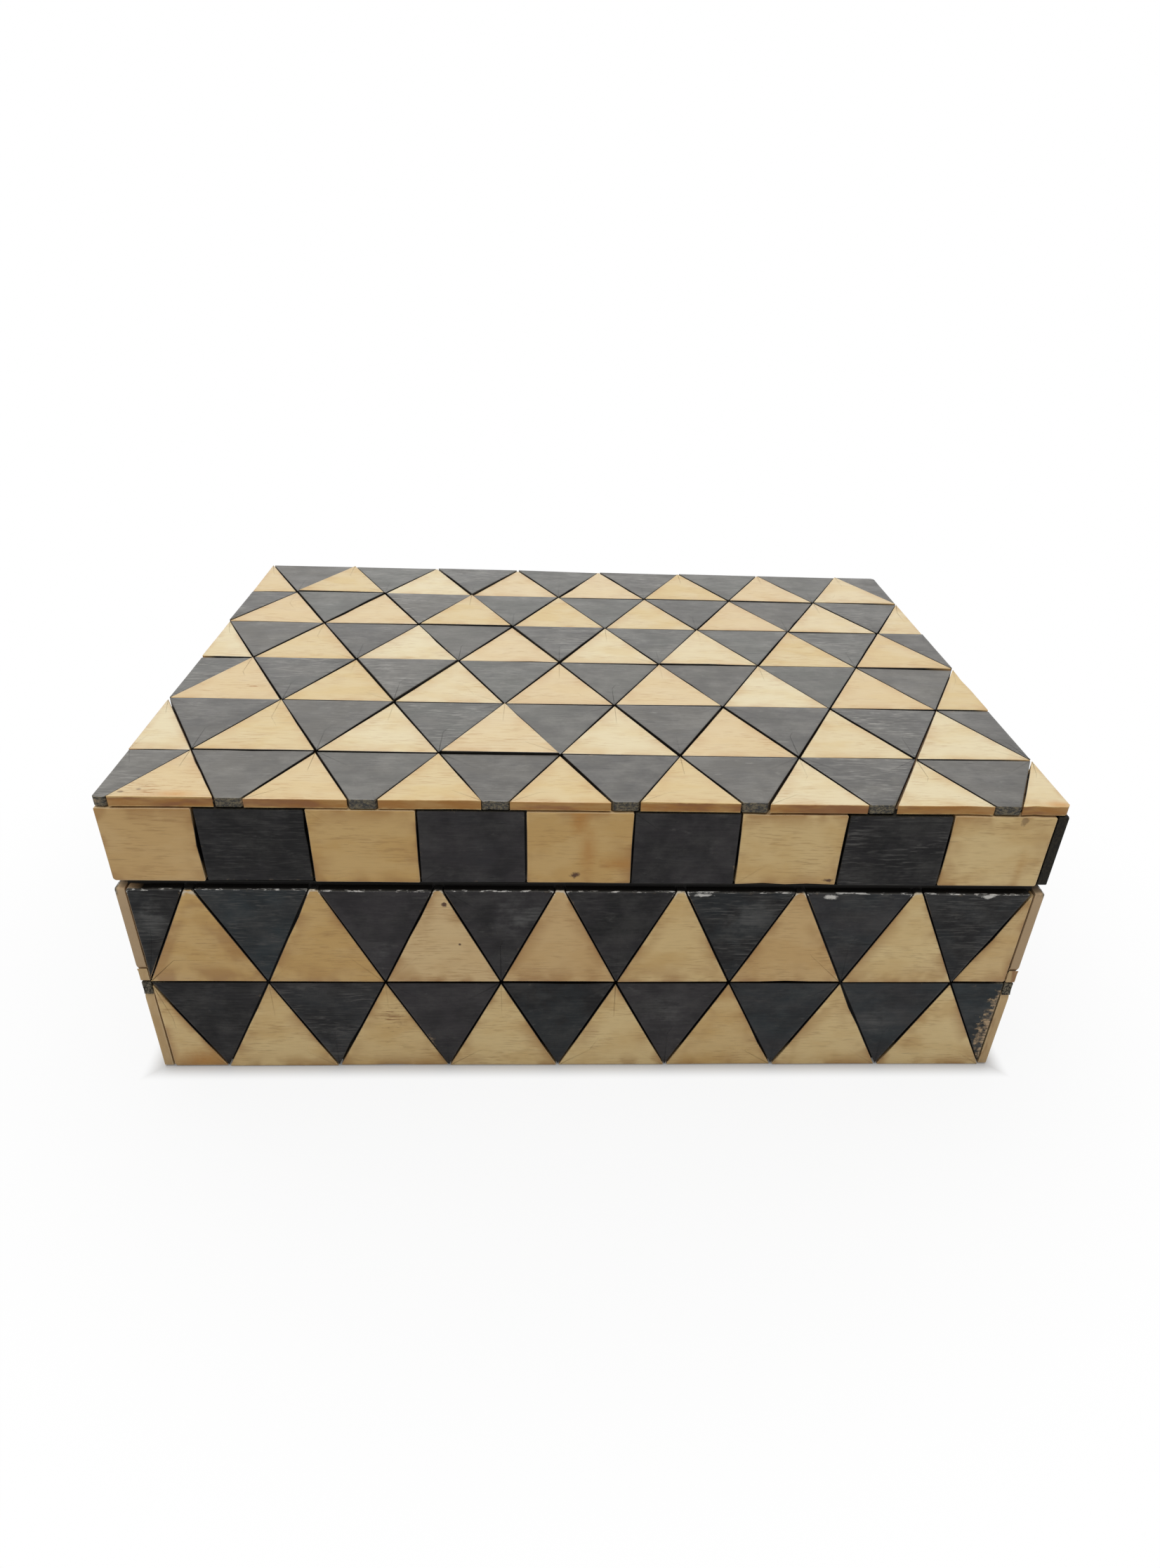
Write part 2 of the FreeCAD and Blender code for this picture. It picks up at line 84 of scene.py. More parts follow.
class Face(Enum):
    """Directions of an outside face: along it, up it and out of it."""

    FRONT = ((1, 0, 0), (0, 0, 1), (0, -1, 0))
    RIGHT = ((0, 1, 0), (0, 0, 1), (1, 0, 0))
    BACK = ((-1, 0, 0), (0, 0, 1), (0, 1, 0))
    LEFT = ((0, -1, 0), (0, 0, 1), (-1, 0, 0))
    TOP = ((1, 0, 0), (0, 1, 0), (0, 0, 1))


class Dye(Enum):
    """The two kinds of bone tile, with the record's slot of each."""

    PALE = "pale_bone"
    DARK = "dyed_bone"


class Mark(Enum):
    """Kinds of single marks."""

    STAIN = "stain"
    PIT = "pit"
    DASHES = "dashes"
    BARE = "bare"
    FLAKE = "flake"
    SCUFF = "scuff"


SOFT_MARKS = (Mark.STAIN, Mark.SCUFF)


@dataclass(frozen=True)
class Spot:
    """One mark on a face, in millimetres: its middle along and up the face, and its half size."""

    along: float
    up: float
    half_along: float
    half_up: float
    strength: float = 1.0


Spots = dict[Mark, tuple[Spot, ...]]
# Marks on the front face of the base and of the lid
FRONT_SPOTS: Spots = {
    Mark.PIT: (
        Spot(-31.7, 48.7, 0.75, 0.8), Spot(-28.8, 37.7, 0.5, 0.45), Spot(-3.6, 56.4, 1.3, 1.0),
        Spot(51.6, 55.6, 1.6, 0.6), Spot(91.3, 71.0, 1.2, 1.3, 0.5),
    ),
    Mark.DASHES: (Spot(-46.3, 15.5, 4.6, 4.0),),
    Mark.STAIN: (
        Spot(-91.0, 1.8, 7.5, 4.5, 0.9), Spot(-2.6, 70.5, 2.4, 5.0, 0.95), Spot(-0.8, 62.5, 2.2, 7.0, 0.75),
        Spot(6.2, 59.4, 5.5, 2.0, 0.8), Spot(93.5, 59.0, 1.2, 5.0, 0.35),
    ),
    Mark.BARE: (Spot(101.6, 12.0, 6.0, 17.0, 1.6), Spot(-38.6, 7.0, 2.6, 4.2, 0.8)),
    Mark.FLAKE: (Spot(24.5, 51.6, 2.3, 0.55), Spot(53.0, 51.3, 1.6, 0.75), Spot(88.4, 51.7, 1.9, 0.6)),
    Mark.SCUFF: (
        Spot(-95.0, 45.0, 3.5, 7.0, 0.7), Spot(-15.0, 45.2, 8.0, 6.0, 0.6), Spot(35.0, 45.5, 8.0, 6.0, 0.5),
        Spot(85.5, 44.5, 6.0, 7.0, 0.5), Spot(-45.0, 35.0, 4.0, 4.0, 0.4), Spot(18.5, 17.0, 6.0, 8.0, 0.4),
        Spot(69.5, 14.0, 5.0, 6.0, 0.45), Spot(-61.5, 10.0, 6.0, 6.0, 0.5),
    ),
}
# Marks on the lid's top
LID_SPOTS: Spots = {
    Mark.DASHES: (Spot(-90.0, -73.5, 9.0, 4.5), Spot(-80.0, -20.5, 5.0, 2.5)),
    Mark.PIT: (Spot(-95.5, -75.2, 0.9, 0.5, 0.7), Spot(-92.2, -74.0, 0.8, 0.5, 0.6)),
    Mark.STAIN: (Spot(-84.5, -75.8, 5.0, 1.8, 0.6), Spot(98.5, -76.0, 4.5, 1.6, 0.7)),
}


class Value:
    """A number or place in a node tree. Its arithmetic adds nodes to the tree."""

    def __init__(self, sheet: NodeSheet, socket: Socket) -> None:
        """Hold the socket that puts the value out."""
        self.sheet = sheet
        self.socket = socket

    def math(self, operation: str, other: Number = 0.0, clamp: bool = False) -> Value:
        """Work out a number from this one and another."""
        inputs = {0: self, 1: other}
        return self.sheet.value("ShaderNodeMath", inputs, operation=operation, use_clamp=clamp)

    __add__ = partialmethod(math, "ADD")
    __sub__ = partialmethod(math, "SUBTRACT")
    __mul__ = partialmethod(math, "MULTIPLY")
    __truediv__ = partialmethod(math, "DIVIDE")
    larger = partialmethod(math, "MAXIMUM")

    def axis(self, name: str) -> Value:
        """Take one coordinate of this place."""
        return self.sheet.value("ShaderNodeSeparateXYZ", {0: self}, name)

    def band(self, low: float, high: float, to_low: float = 0.0, to_high: float = 1.0) -> Value:
        """Map this number smoothly from to_low at or below low to to_high at or above high."""
        inputs = dict(enumerate((self, low, high, to_low, to_high)))
        return self.sheet.value("ShaderNodeMapRange", inputs, interpolation_type="SMOOTHSTEP")

    def noise(self, scale: float | Triple, detail: float = 3.0, rough: float = 0.55) -> Value:
        """Read cloudy noise at this place, drawn out where each axis has its own scale.

        Args:
            scale: One scale, or one for each axis.
            detail: Number of finer layers.
            rough: Strength of the finer layers.

        Returns:
            The noise, about 0.5 on average.
        """
        place = self
        if isinstance(scale, tuple):
            place = self.sheet.value("ShaderNodeVectorMath", {0: self, 1: scale}, operation="MULTIPLY")
            scale = 1.0
        inputs = {"Vector": place, "Scale": scale, "Detail": detail, "Roughness": rough}
        return self.sheet.value("ShaderNodeTexNoise", inputs)


Number = Value | float


class NodeSheet:
    """A node tree, with short ways to add nodes to it."""

    def __init__(self, tree: NodeTree) -> None:
        """Hold the tree that gets the nodes."""
        self.tree = tree

    def feed(self, socket: Socket, value: object) -> None:
        """Link a socket to a value, or give it a plain number, vector or colour.

        Args:
            socket: The input to feed.
            value: What it gets.
        """
        if isinstance(value, Value):
            self.tree.links.new(value.socket, socket)
        else:
            socket.default_value = (*value, 1.0) if socket.type == "RGBA" else value

    def add(self, kind: str, inputs: Inputs, **settings: object) -> Node:
        """Add a node.

        Args:
            kind: Blender's name for the node type.
            inputs: What its inputs get, by name or number.
            settings: Node properties by name.

        Returns:
            The new node.
        """
        node = self.tree.nodes.new(kind)
        for name, setting in settings.items():
            setattr(node, name, setting)
        for name, value in inputs.items():
            self.feed(node.inputs[name], value)
        return node

    def value(self, kind: str, inputs: Inputs, output: str | int = 0, **settings: object) -> Value:
        """Add a node and take one of its outputs."""
        return Value(self, self.add(kind, inputs, **settings).outputs[output])

    def mix(self, mask: Number, first: Value | Colour, second: Value | Colour) -> Value:
        """Mix two colours."""
        inputs = {"Factor": mask, "A": first, "B": second}
        return self.value("ShaderNodeMix", inputs, "Result", data_type="RGBA")

    def here(self) -> Value:
        """Read the place in the object, in metres."""
        return self.value("ShaderNodeTexCoord", {}, "Object")

    def effect(self, tree: NodeTree, place: Value) -> list[Value]:
        """Place a shared effect and list its results."""
        node = self.add("ShaderNodeGroup", {"Place": place}, node_tree=tree)
        return [Value(self, socket) for socket in node.outputs]


def new_effect(name: str, work: Callable[[Value], dict[str, Value]]) -> NodeTree:
    """Build a shared effect that turns a place into numbers.

    Args:
        name: Name of the node group.
        work: Works out the numbers by name from the place.

    Returns:
        The node group.
    """
    tree = bpy.data.node_groups.new(name, "ShaderNodeTree")
    tree.interface.new_socket("Place", in_out="INPUT", socket_type="NodeSocketVector")
    sheet = NodeSheet(tree)
    numbers = work(sheet.value("NodeGroupInput", {}))
    for label in numbers:
        tree.interface.new_socket(label, in_out="OUTPUT", socket_type="NodeSocketFloat")
    sheet.add("NodeGroupOutput", numbers)
    return tree


class Effects:
    """Shared effects, each built once and placed in the finishes."""

    pit_cells_per_mm = 0.085
    pit_radius_cells = 0.035
    pit_sharpness = 24.0
    pit_rarity = 0.86

    def __init__(self) -> None:
        """Build every effect."""
        self.streaks = new_effect("bone_streaks", self.bone_streaks)
        self.pits = new_effect("bone_pits", self.bone_pits)
        self.grain = new_effect("wood_grain", self.wood_grain)

    def bone_streaks(self, place: Value) -> dict[str, Value]:
        """Work out fine short lines along the bone, gathered in patches, long hair cracks and clouds.

        Args:
            place: Place in millimetres, with x along the grain.

        Returns:
            The masks by name.
        """
        fine = place.noise((0.24, 2.3, 1.0), 2.0, 0.6).band(0.5, 0.66)
        broad = place.noise((0.08, 0.8, 1.0), 3.0, 0.6).band(0.5, 0.72)
        patch = place.noise((0.09, 0.16, 1.0), 2.0).band(0.36, 0.66, 0.2, 1.0)
        hair = place.noise((0.09, 2.2, 1.0), 1.0, 0.5).band(0.66, 0.7)
        where = place.noise((0.12, 0.2, 1.0), 1.0).band(0.58, 0.7)
        clouds = place.noise((0.08, 0.15, 0.11))
        return {"Streaks": (fine + broad * 0.45) * patch, "Cracks": hair * where, "Clouds": clouds}

    def bone_pits(self, place: Value) -> dict[str, Value]:
        """Work out rare small round pits.

        Args:
            place: Place in millimetres, with x along the grain.

        Returns:
            The mask by name.
        """
        sheet = place.sheet
        cells = sheet.add("ShaderNodeTexVoronoi", {"Vector": place, "Scale": self.pit_cells_per_mm})
        near = Value(sheet, cells.outputs["Distance"]) * -1.0 + self.pit_radius_cells
        chance = sheet.value("ShaderNodeSeparateColor", {0: Value(sheet, cells.outputs["Color"])})
        rare = chance.math("GREATER_THAN", self.pit_rarity)
        return {"Pits": near.math("MULTIPLY", self.pit_sharpness, clamp=True) * rare}

    def wood_grain(self, place: Value) -> dict[str, Value]:
        """Work out the grain of a planed board: soft growth bands and short pores.

        Args:
            place: Place in millimetres, with x along the grain.

        Returns:
            The masks by name.
        """
        warp = place.noise((0.012, 0.06, 0.06), 2.0)
        rings = place.noise((0.004, 0.32, 0.32), 4.0, 0.6)
        pores = place.noise((0.16, 3.2, 3.2), 2.0, 0.6).band(0.6, 0.72)
        return {"Bands": rings * 0.75 + warp * 0.25, "Pores": pores}


class MaterialSheet(NodeSheet):
    """The nodes of a new material, whose colour is painted in layers."""

    def __init__(self, name: str, colour: Colour) -> None:
        """Start the material.

        Args:
            name: Name of the material.
            colour: Its first colour.
        """
        self.material = bpy.data.materials.new(name)
        self.material.use_nodes = True
        super().__init__(self.material.node_tree)
        self.shader = self.tree.nodes["Principled BSDF"]
        self.colour: Value | Colour = colour

    def paint(self, mask: Number, colour: Value | Colour) -> None:
        """Lay a colour over those before it, as far as the mask has it."""
        self.colour = self.mix(mask, self.colour, colour)

    def finish(self, inputs: Inputs) -> Material:
        """Give the shader its painted colour and its other inputs.

        Args:
            inputs: The other inputs by name.

        Returns:
            The material.
        """
        for name, value in {"Base Color": self.colour, **inputs}.items():
            self.feed(self.shader.inputs[name], value)
        return self.material

    def relief(self, height: Value, strength: float, depth_mm: float) -> Value:
        """Turn a height into the normal of fine relief."""
        inputs = {"Strength": strength, "Distance": depth_mm * MM, "Height": height}
        return self.value("ShaderNodeBump", inputs, "Normal")


class TileSheet(MaterialSheet):
    """The nodes of a tile finish, with the tile's attributes, streaks and single marks."""

    ragged_per_mm = 0.9
    # How ragged a mark's border is, and how far out the mark is full and gone, in half sizes
    soft_border = (0.6, -0.2, 1.35)
    hard_border = (1.7, 0.35, 1.0)

    def __init__(self, name: str, colour: Colour, effects: Effects, spots: Spots, up_axis: str) -> None:
        """Read the attributes and place the streaks.

        Args:
            name: Name of the material.
            colour: Its first colour.
            effects: The shared effects.
            spots: Single marks on the face by kind.
            up_axis: The axis that runs up the face.
        """
        super().__init__(name, colour)
        self.spots = spots
        self.up_axis = up_axis
        self.place = self.attribute("place", "Vector")
        self.tone = self.attribute("tone")
        self.edge = self.attribute("edge")
        self.side = self.attribute("side")
        self.joint = self.attribute("joint")
        self.rim = self.attribute("rim")
        self.streaks, self.cracks, self.clouds = self.effect(effects.streaks, self.place)

    def attribute(self, name: str, output: str = "Fac") -> Value:
        """Read an attribute of the tile."""
        return self.value("ShaderNodeAttribute", {}, output, attribute_name=f"tile_{name}")

    def lot(self, stride: float) -> Value:
        """Draw a number from 0 to 1 that is the same all over a tile."""
        return (self.tone * stride).math("FRACT")

    def marked(self, kind: Mark) -> Number:
        """Mask of all single marks of one kind, with ragged borders.

        Args:
            kind: Kind of mark.

        Returns:
            The mask, or 0 where the face has no such mark.
        """
        if kind not in self.spots:
            return 0.0
        raggedness, full, gone = self.soft_border if kind in SOFT_MARKS else self.hard_border
        here = self.here()
        along, up = here.axis("X"), here.axis(self.up_axis)
        ragged = (here.noise(self.ragged_per_mm / MM, 3.0, 0.6) - 0.5) * raggedness
        mask: Number = 0.0
        for spot in self.spots[kind]:
            across = (along - spot.along * MM) / (spot.half_along * MM)
            upward = (up - spot.up * MM) / (spot.half_up * MM)
            far = (across * across + upward * upward).math("SQRT") + ragged
            mask = far.band(full, gone, spot.strength, 0.0).larger(mask)
        return mask


@dataclass(frozen=True)
class PaleBone:
    """Natural bone: cream with fine streaks, amber clouds and stained borders."""

    name: str
    gloss_ior: float = 1.45
    light: Colour = (0.86, 0.645, 0.31)
    warm: Colour = (0.67, 0.42, 0.145)
    rosy: Colour = (0.73, 0.50, 0.26)
    streak: Colour = (0.36, 0.185, 0.055)
    stain: Colour = (0.42, 0.21, 0.06)
    smudge: Colour = (0.54, 0.25, 0.05)
    sawn: Colour = (0.56, 0.37, 0.17)
    sawn_pale_and_highlight: Colour = (0.70, 0.52, 0.29)
    burnt: Colour = (0.27, 0.105, 0.035)
    pit: Colour = (0.10, 0.04, 0.012)
    chip: Colour = (0.74, 0.64, 0.48)
    streak_share: float = 0.38
    border_stain: float = 0.8
    spots: Spots = field(default_factory=dict)
    up_axis: str = "Z"

    def build(self, effects: Effects) -> Material:
        """Make the material.

        Args:
            effects: The shared effects.

        Returns:
            The material.
        """
        sheet = TileSheet(self.name, self.light, effects, self.spots, self.up_axis)
        place, edge = sheet.place, sheet.edge
        # Warmer in clouds, and from tile to tile
        warmth = sheet.clouds.band(0.4, 0.72, 0.0, 0.45) + sheet.tone.band(0.15, 1.0, 0.0, 0.85)
        sheet.paint(warmth.math("MINIMUM", 1.0), self.warm)
        sheet.paint(sheet.lot(7.0).band(0.45, 0.95, 0.0, 0.7), self.rosy)
        share = sheet.marked(Mark.DASHES) + self.streak_share
        sheet.paint(sheet.streaks.math("MULTIPLY", share, clamp=True), self.streak)
        # Stained and dirty towards the joints, in patches
        border = place.noise(0.13, 2.0).band(0.4, 0.62, 0.06, self.border_stain)
        sheet.paint(edge.math("POWER", 1.4) * border, self.stain)
        sheet.paint(sheet.marked(Mark.STAIN), self.smudge)
        sheet.paint(sheet.marked(Mark.PIT), self.pit)
        dirt = place.noise(0.9, 4.0, 0.7).band(0.64, 0.8) * edge.band(0.2, 0.9)
        sheet.paint(dirt * 0.5, self.pit)
        (pits,) = sheet.effect(effects.pits, place)
        sheet.paint(pits.larger(sheet.cracks * 0.25), self.pit)
        # Sawn sides at the ends of the face, grime in the joints and painted shade on the top edges under
        # the lid, chips along the rim
        sheet.paint(sheet.side, self.sawn_colour(sheet))
        sheet.paint(sheet.joint, GRIME_AND_SHADE)
        worn = place.noise((0.5, 1.2, 1.2)).band(0.42, 0.55)
        sheet.paint(sheet.rim.band(0.75, 0.95) * worn, self.chip)
        rough = sheet.clouds.band(0.3, 0.7, 0.34, 0.46) + sheet.side * 0.2
        height = sheet.streaks * -0.5 + place.noise(0.35) - pits
        normal = sheet.relief(height, 0.35, 0.12)
        return sheet.finish({"Roughness": rough, "IOR": self.gloss_ior, "Normal": normal})

    def sawn_colour(self, sheet: TileSheet) -> Value:
        """Colour of a sawn edge: amber through the thickness, pale along the foot, with a painted highlight
        along the top arris.

        Args:
            sheet: The material's nodes.

        Returns:
            The colour.
        """
        place = sheet.place
        level = place.axis("Z") + place.noise(0.5, 2.0) * 0.5
        # Amber below the top arris, pale at the top as a painted highlight
        below_highlight = level.band(2.05, 2.4, 1.0, 0.0)
        deep = place.noise((0.16, 0.16, 0.7)).band(0.3, 0.7, 0.6, 1.0)
        colour = sheet.mix(level.band(0.25, 0.5) * below_highlight * deep, self.sawn_pale_and_highlight, self.sawn)
        burnt = place.noise((0.07, 0.07, 0.35)).band(0.5, 0.66, 0.0, 0.75)
        return sheet.mix(burnt * below_highlight, colour, self.burnt)


@dataclass(frozen=True)
class DarkBone:
    """Bone dyed black: pale scratches, hair cracks, worn borders and half-dyed sawn edges."""

    name: str
    edge_dye: float
    gloss_ior: float = 1.23
    body: Colour = (0.036, 0.032, 0.035)
    bluish: Colour = (0.026, 0.035, 0.040)
    deep: Colour = (0.008, 0.0075, 0.0085)
    crack: Colour = (0.004, 0.004, 0.004)
    streak: Colour = (0.12, 0.116, 0.11)
    scuff: Colour = (0.17, 0.17, 0.165)
    bare: Colour = (0.56, 0.40, 0.24)
    edge_body: Colour = (0.014, 0.013, 0.011)
    sawn: Colour = (0.20, 0.165, 0.10)
    edge_speck: float = 0.3
    bare_above_mm: float = 0.0
    chip: Colour = (0.70, 0.68, 0.64)
    spots: Spots = field(default_factory=dict)

    def build(self, effects: Effects) -> Material:
        """Make the material.

        Args:
            effects: The shared effects.

        Returns:
            The material.
        """
        sheet = TileSheet(self.name, self.body, effects, self.spots, "Z")
        place, rim = sheet.place, sheet.rim
        self.paint_dye(sheet)
        self.paint_wear(sheet)
        sheet.paint(sheet.side, self.sawn_colour(sheet))
        # Grime in the joints, and painted shade on the base tiles' top edges under the lid
        sheet.paint(sheet.joint, GRIME_AND_SHADE)
        # Chips along the rim, and a little grey all along it
        chips = place.noise((0.42, 1.5, 1.5), 4.0, 0.65).band(0.52, 0.6) * rim.band(0.78, 0.96)
        sheet.paint(chips.larger(rim.band(0.75, 1.0) * 0.06), self.chip)
        rough = sheet.clouds.band(0.3, 0.7, 0.36, 0.5) + sheet.side * 0.22
        height = sheet.streaks * 0.5 + place.noise(0.35) - sheet.cracks
        normal = sheet.relief(height, 0.4, 0.12)
        return sheet.finish({"Roughness": rough, "IOR": self.gloss_ior, "Normal": normal})

    def paint_dye(self, sheet: TileSheet) -> None:
        """Paint the dye, bluer or deeper from tile to tile, with a cloudy film and rubs on it.

        Args:
            sheet: The material's nodes.
        """
        place = sheet.place
        sheet.paint((sheet.clouds + sheet.lot(5.0)).band(0.6, 1.3), self.bluish)
        depth = sheet.lot(11.0).band(0.2, 1.0, 0.0, 0.75)
        cloudy = place.noise(0.16).band(0.4, 0.65, 0.0, 0.5)
        sheet.paint(depth.math("ADD", cloudy, clamp=True), self.deep)
        brushed = place.noise((0.1, 1.5, 1.0), 3.0, 0.65)
        sheet.paint(brushed.band(0.4, 0.75, 0.0, 0.11), self.streak)
        film = place.noise((0.1, 0.13, 1.0), 5.0, 0.68)
        sheet.paint(film.band(0.42, 0.7, 0.02, 0.27), self.streak)
        rubs = film.band(0.38, 0.6) * sheet.marked(Mark.SCUFF)
        sheet.paint(rubs * brushed.band(0.4, 0.6, 0.35, 1.0), self.scuff)

    def paint_wear(self, sheet: TileSheet) -> None:
        """Paint scratches, cracks, worn borders and the places where the dye is rubbed off.

        Args:
            sheet: The material's nodes.
        """
        place = sheet.place
        amount = sheet.tone.band(0.2, 1.0, 0.1, 0.75)
        sheet.paint(sheet.streaks.math("MULTIPLY", amount, clamp=True), self.streak)
        scuff = place.noise((0.2, 0.45, 1.0), 4.0, 0.65).band(0.6, 0.78)
        sheet.paint(scuff * 0.5, self.streak)
        sheet.paint(sheet.cracks * 0.9, self.crack)
        worn = place.noise(0.45, 4.0, 0.65).band(0.6, 0.74)
        sheet.paint(worn * sheet.edge.band(0.75, 1.0, 0.0, 0.22), self.bare)
        flecks = place.noise((0.16, 1.3, 1.0), 3.0, 0.65).band(0.36, 0.6, 0.25, 1.0)
        sheet.paint(flecks * sheet.marked(Mark.BARE), self.bare)
        sheet.paint(sheet.marked(Mark.FLAKE), self.chip)

    def sawn_colour(self, sheet: TileSheet) -> Value:
        """Colour of a sawn edge: specked dye, with bare patches that the dye did not reach.

        Args:
            sheet: The material's nodes.

        Returns:
            The colour.
        """
        place = sheet.place
        speck = place.noise((1.6, 1.6, 2.6), 4.0, 0.7).band(0.42, 0.6)
        dyed = sheet.mix(speck * self.edge_speck, self.edge_body, self.sawn)
        bare = (place.noise((0.4, 0.12, 0.4)) - self.edge_dye).band(-0.12, 0.04)
        bare *= sheet.rim.band(0.7, 0.95, 1.0, 0.0)
        bare *= sheet.here().axis("Z").math("GREATER_THAN", self.bare_above_mm * MM)
        return sheet.mix(bare, dyed, self.bare)


@dataclass(frozen=True)
class BoxWood:
    """Plain planed wood inside, stained black under the tiles, and black on the rims as a stain and as
    painted shade for the gap under the lid, in millimetres.
    """

    name: str
    turn_deg: float
    inner_half: Pair
    rims: Pair
    light: Colour = (0.40, 0.245, 0.125)
    brown: Colour = (0.25, 0.135, 0.06)
    pore: Colour = (0.11, 0.055, 0.025)
    black: Colour = (0.012, 0.011, 0.010)
    shine: float = 0.3
    stain_soft: float = 0.25
    stain_past_rim: float = 0.45
    wobble: float = 0.6
    wobble_per_m: float = 260.0

    def build(self, effects: Effects) -> Material:
        """Make the material.

        Args:
            effects: The shared effects.

        Returns:
            The material.
        """
        sheet = MaterialSheet(self.name, self.light)
        here = sheet.here()
        turn = (0.0, 0.0, math.radians(self.turn_deg))
        inputs = {"Vector": here, "Rotation": turn, "Scale": (1 / MM, 1 / MM, 1 / MM)}
        bands, pores = sheet.effect(effects.grain, sheet.value("ShaderNodeMapping", inputs))
        sheet.paint(bands.band(0.36, 0.66), self.brown)
        sheet.paint(pores * 0.5, self.pore)
        # Black stain outside under the tiles; along the rims it is a stain and painted shade for the gap
        # under the lid
        sheet.paint(self.stained(here), self.black)
        rough = bands.band(0.3, 0.7, 0.5, 0.62)
        normal = sheet.relief(bands + pores * -0.6, 0.3, 0.15)
        return sheet.finish({"Roughness": rough, "Specular IOR Level": self.shine, "Normal": normal})

    def stained(self, here: Value) -> Value:
        """Mask of the black: a stain outside the inner walls, and along the two rims a stain that is also
        painted shade for the gap under the lid.

        Args:
            here: Place in the object, in metres.

        Returns:
            The mask.
        """
        wobble = (here.noise(self.wobble_per_m) - 0.5) * (self.wobble * MM)
        low = self.rims[0] - self.stain_past_rim
        high = self.rims[1] + self.stain_past_rim
        height = here.axis("Z") + wobble
        mask = height.band((low - self.stain_soft) * MM, low * MM)
        mask *= height.band(high * MM, (high + self.stain_soft) * MM, 1.0, 0.0)
        for axis, half in zip("XY", self.inner_half):
            far = here.axis(axis).math("ABSOLUTE") + wobble
            mask = mask.larger(far.band(half * MM, (half + self.stain_soft) * MM))
        return mask


@dataclass(frozen=True)
class HingeBrass:
    """Drawn brass, dulled and browned in cloudy patches."""

    name: str = "hinge_brass_dull"
    bright: Colour = (0.72, 0.52, 0.24)
    brown: Colour = (0.33, 0.20, 0.08)

    def build(self) -> Material:
        """Make the material.

        Returns:
            The material.
        """
        sheet = MaterialSheet(self.name, self.bright)
        here = sheet.here()
        cloud = here.noise(420.0, 4.0, 0.6)
        sheet.paint(cloud.band(0.45, 0.7), self.brown)
        drawn = sheet.relief(here.noise((120.0, 5200.0, 5200.0), 2.0), 0.25, 0.03)
        rough = cloud.band(0.35, 0.7, 0.28, 0.5)
        return sheet.finish({"Roughness": rough, "Metallic": 1.0, "Normal": drawn})


def welded(node: Piece) -> tuple[Array, Array]:
    """Read a CAD node's loose triangles as one mesh, welded to the micron.

    Args:
        node: The CAD node's object.

    Returns:
        Corner places in millimetres, and triangles as rows of corner numbers.
    """
    mesh = node.data
    mesh.calc_loop_triangles()
    places = np.empty(len(mesh.vertices) * 3, np.float32)
    mesh.vertices.foreach_get("co", places)
    triangles = np.empty(len(mesh.loop_triangles) * 3, np.int32)
    mesh.loop_triangles.foreach_get("vertices", triangles)
    micron = np.round(places.reshape(-1, 3).astype(float) * MICRONS_PER_M).astype(np.int64)
    keys, back = np.unique(micron, axis=0, return_inverse=True)
    return keys / MICRONS_PER_MM, back.reshape(-1)[triangles].reshape(-1, 3)


def new_object(name: str, data: bpy.types.ID) -> Piece:
    """Put an object into the scene.

    Args:
        name: Name of the object.
        data: Its mesh, lamp or camera.

    Returns:
        The object, at the origin.
    """
    thing = bpy.data.objects.new(name, data)
    bpy.context.scene.collection.objects.link(thing)
    return thing


def new_piece(name: str, places_mm: Array, faces: list[list[int]]) -> Piece:
    """Make a mesh object from places in millimetres.

    Args:
        name: Name of the piece.
        places_mm: Rows of x, y, z.
        faces: Lists of corner numbers.

    Returns:
        The object, at the origin.
    """
    mesh = bpy.data.meshes.new(name)
    mesh.from_pydata((places_mm * MM).tolist(), [], faces)
    mesh.polygons.foreach_set("use_smooth", np.ones(len(mesh.polygons), bool))
    return new_object(name, mesh)


def stand_in(piece: Piece, node: str, body: str, material: Material) -> None:
    """Dress a piece and set it in a CAD node's place.

    Args:
        piece: The piece.
        node: Name of the CAD node.
        body: The body that it rides on.
        material: Its finish.
    """
    piece.data.materials.append(material)
    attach(piece, body)
    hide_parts(node)
    LOG.info("%s: %d faces", piece.name, len(piece.data.polygons))


def grid_quads(rows: int, columns: int, closed: bool) -> Array:
    """Quads of a grid: point c of row r joins c and c + 1 of rows r and r + 1.

    Args:
        rows: Number of rows.
        columns: Points in one row.
        closed: Whether a row is a ring, whose last point joins the first.

    Returns:
        Rows of four corner numbers.
    """
    row, column = np.meshgrid(np.arange(rows - 1), np.arange(columns - (not closed)), indexing="ij")
    first = row * columns
    after = (column + 1) % columns
    quads = (first + column, first + after, first + columns + after, first + columns + column)
    return np.stack(quads, -1).reshape(-1, 4)


# A tile's five rings are its foot, the top of its side, the arris, the end of the wear and the end of
# the stain. These say how far each ring belongs to the stained border, the sawn side and the worn rim.
EDGE_RINGS = np.array((1.0, 1.0, 1.0, 0.8, 0.0))
SIDE_RINGS = np.array((1.0, 1.0, 0.0, 0.0, 0.0))
RIM_RINGS = np.array((0.0, 1.0, 1.0, 0.3, 0.0))
RINGS = len(SIDE_RINGS)
# Share of an edge at its inner samples, and the samples that a cut corner owns
EDGE_PARTS = np.array((0.28, 0.5, 0.72))
CUT_SAMPLES = (0, 1, 5)
# A corner this near to the face's end is cut there in the CAD, and a worked sample may lie further in
AT_END_MM = 0.2
NEAR_END_MM = 1.0
NEAR_RIM_MM = 0.9
# Sine of the turn under which a corner is only a point on a straight edge
STRAIGHT = 0.03
LEAST_MITER = 0.15
LEAST_INNER_MM = 0.8
GRAIN_SPREAD_MM = 400.0
TILE_SHARP_DEG = 45.0


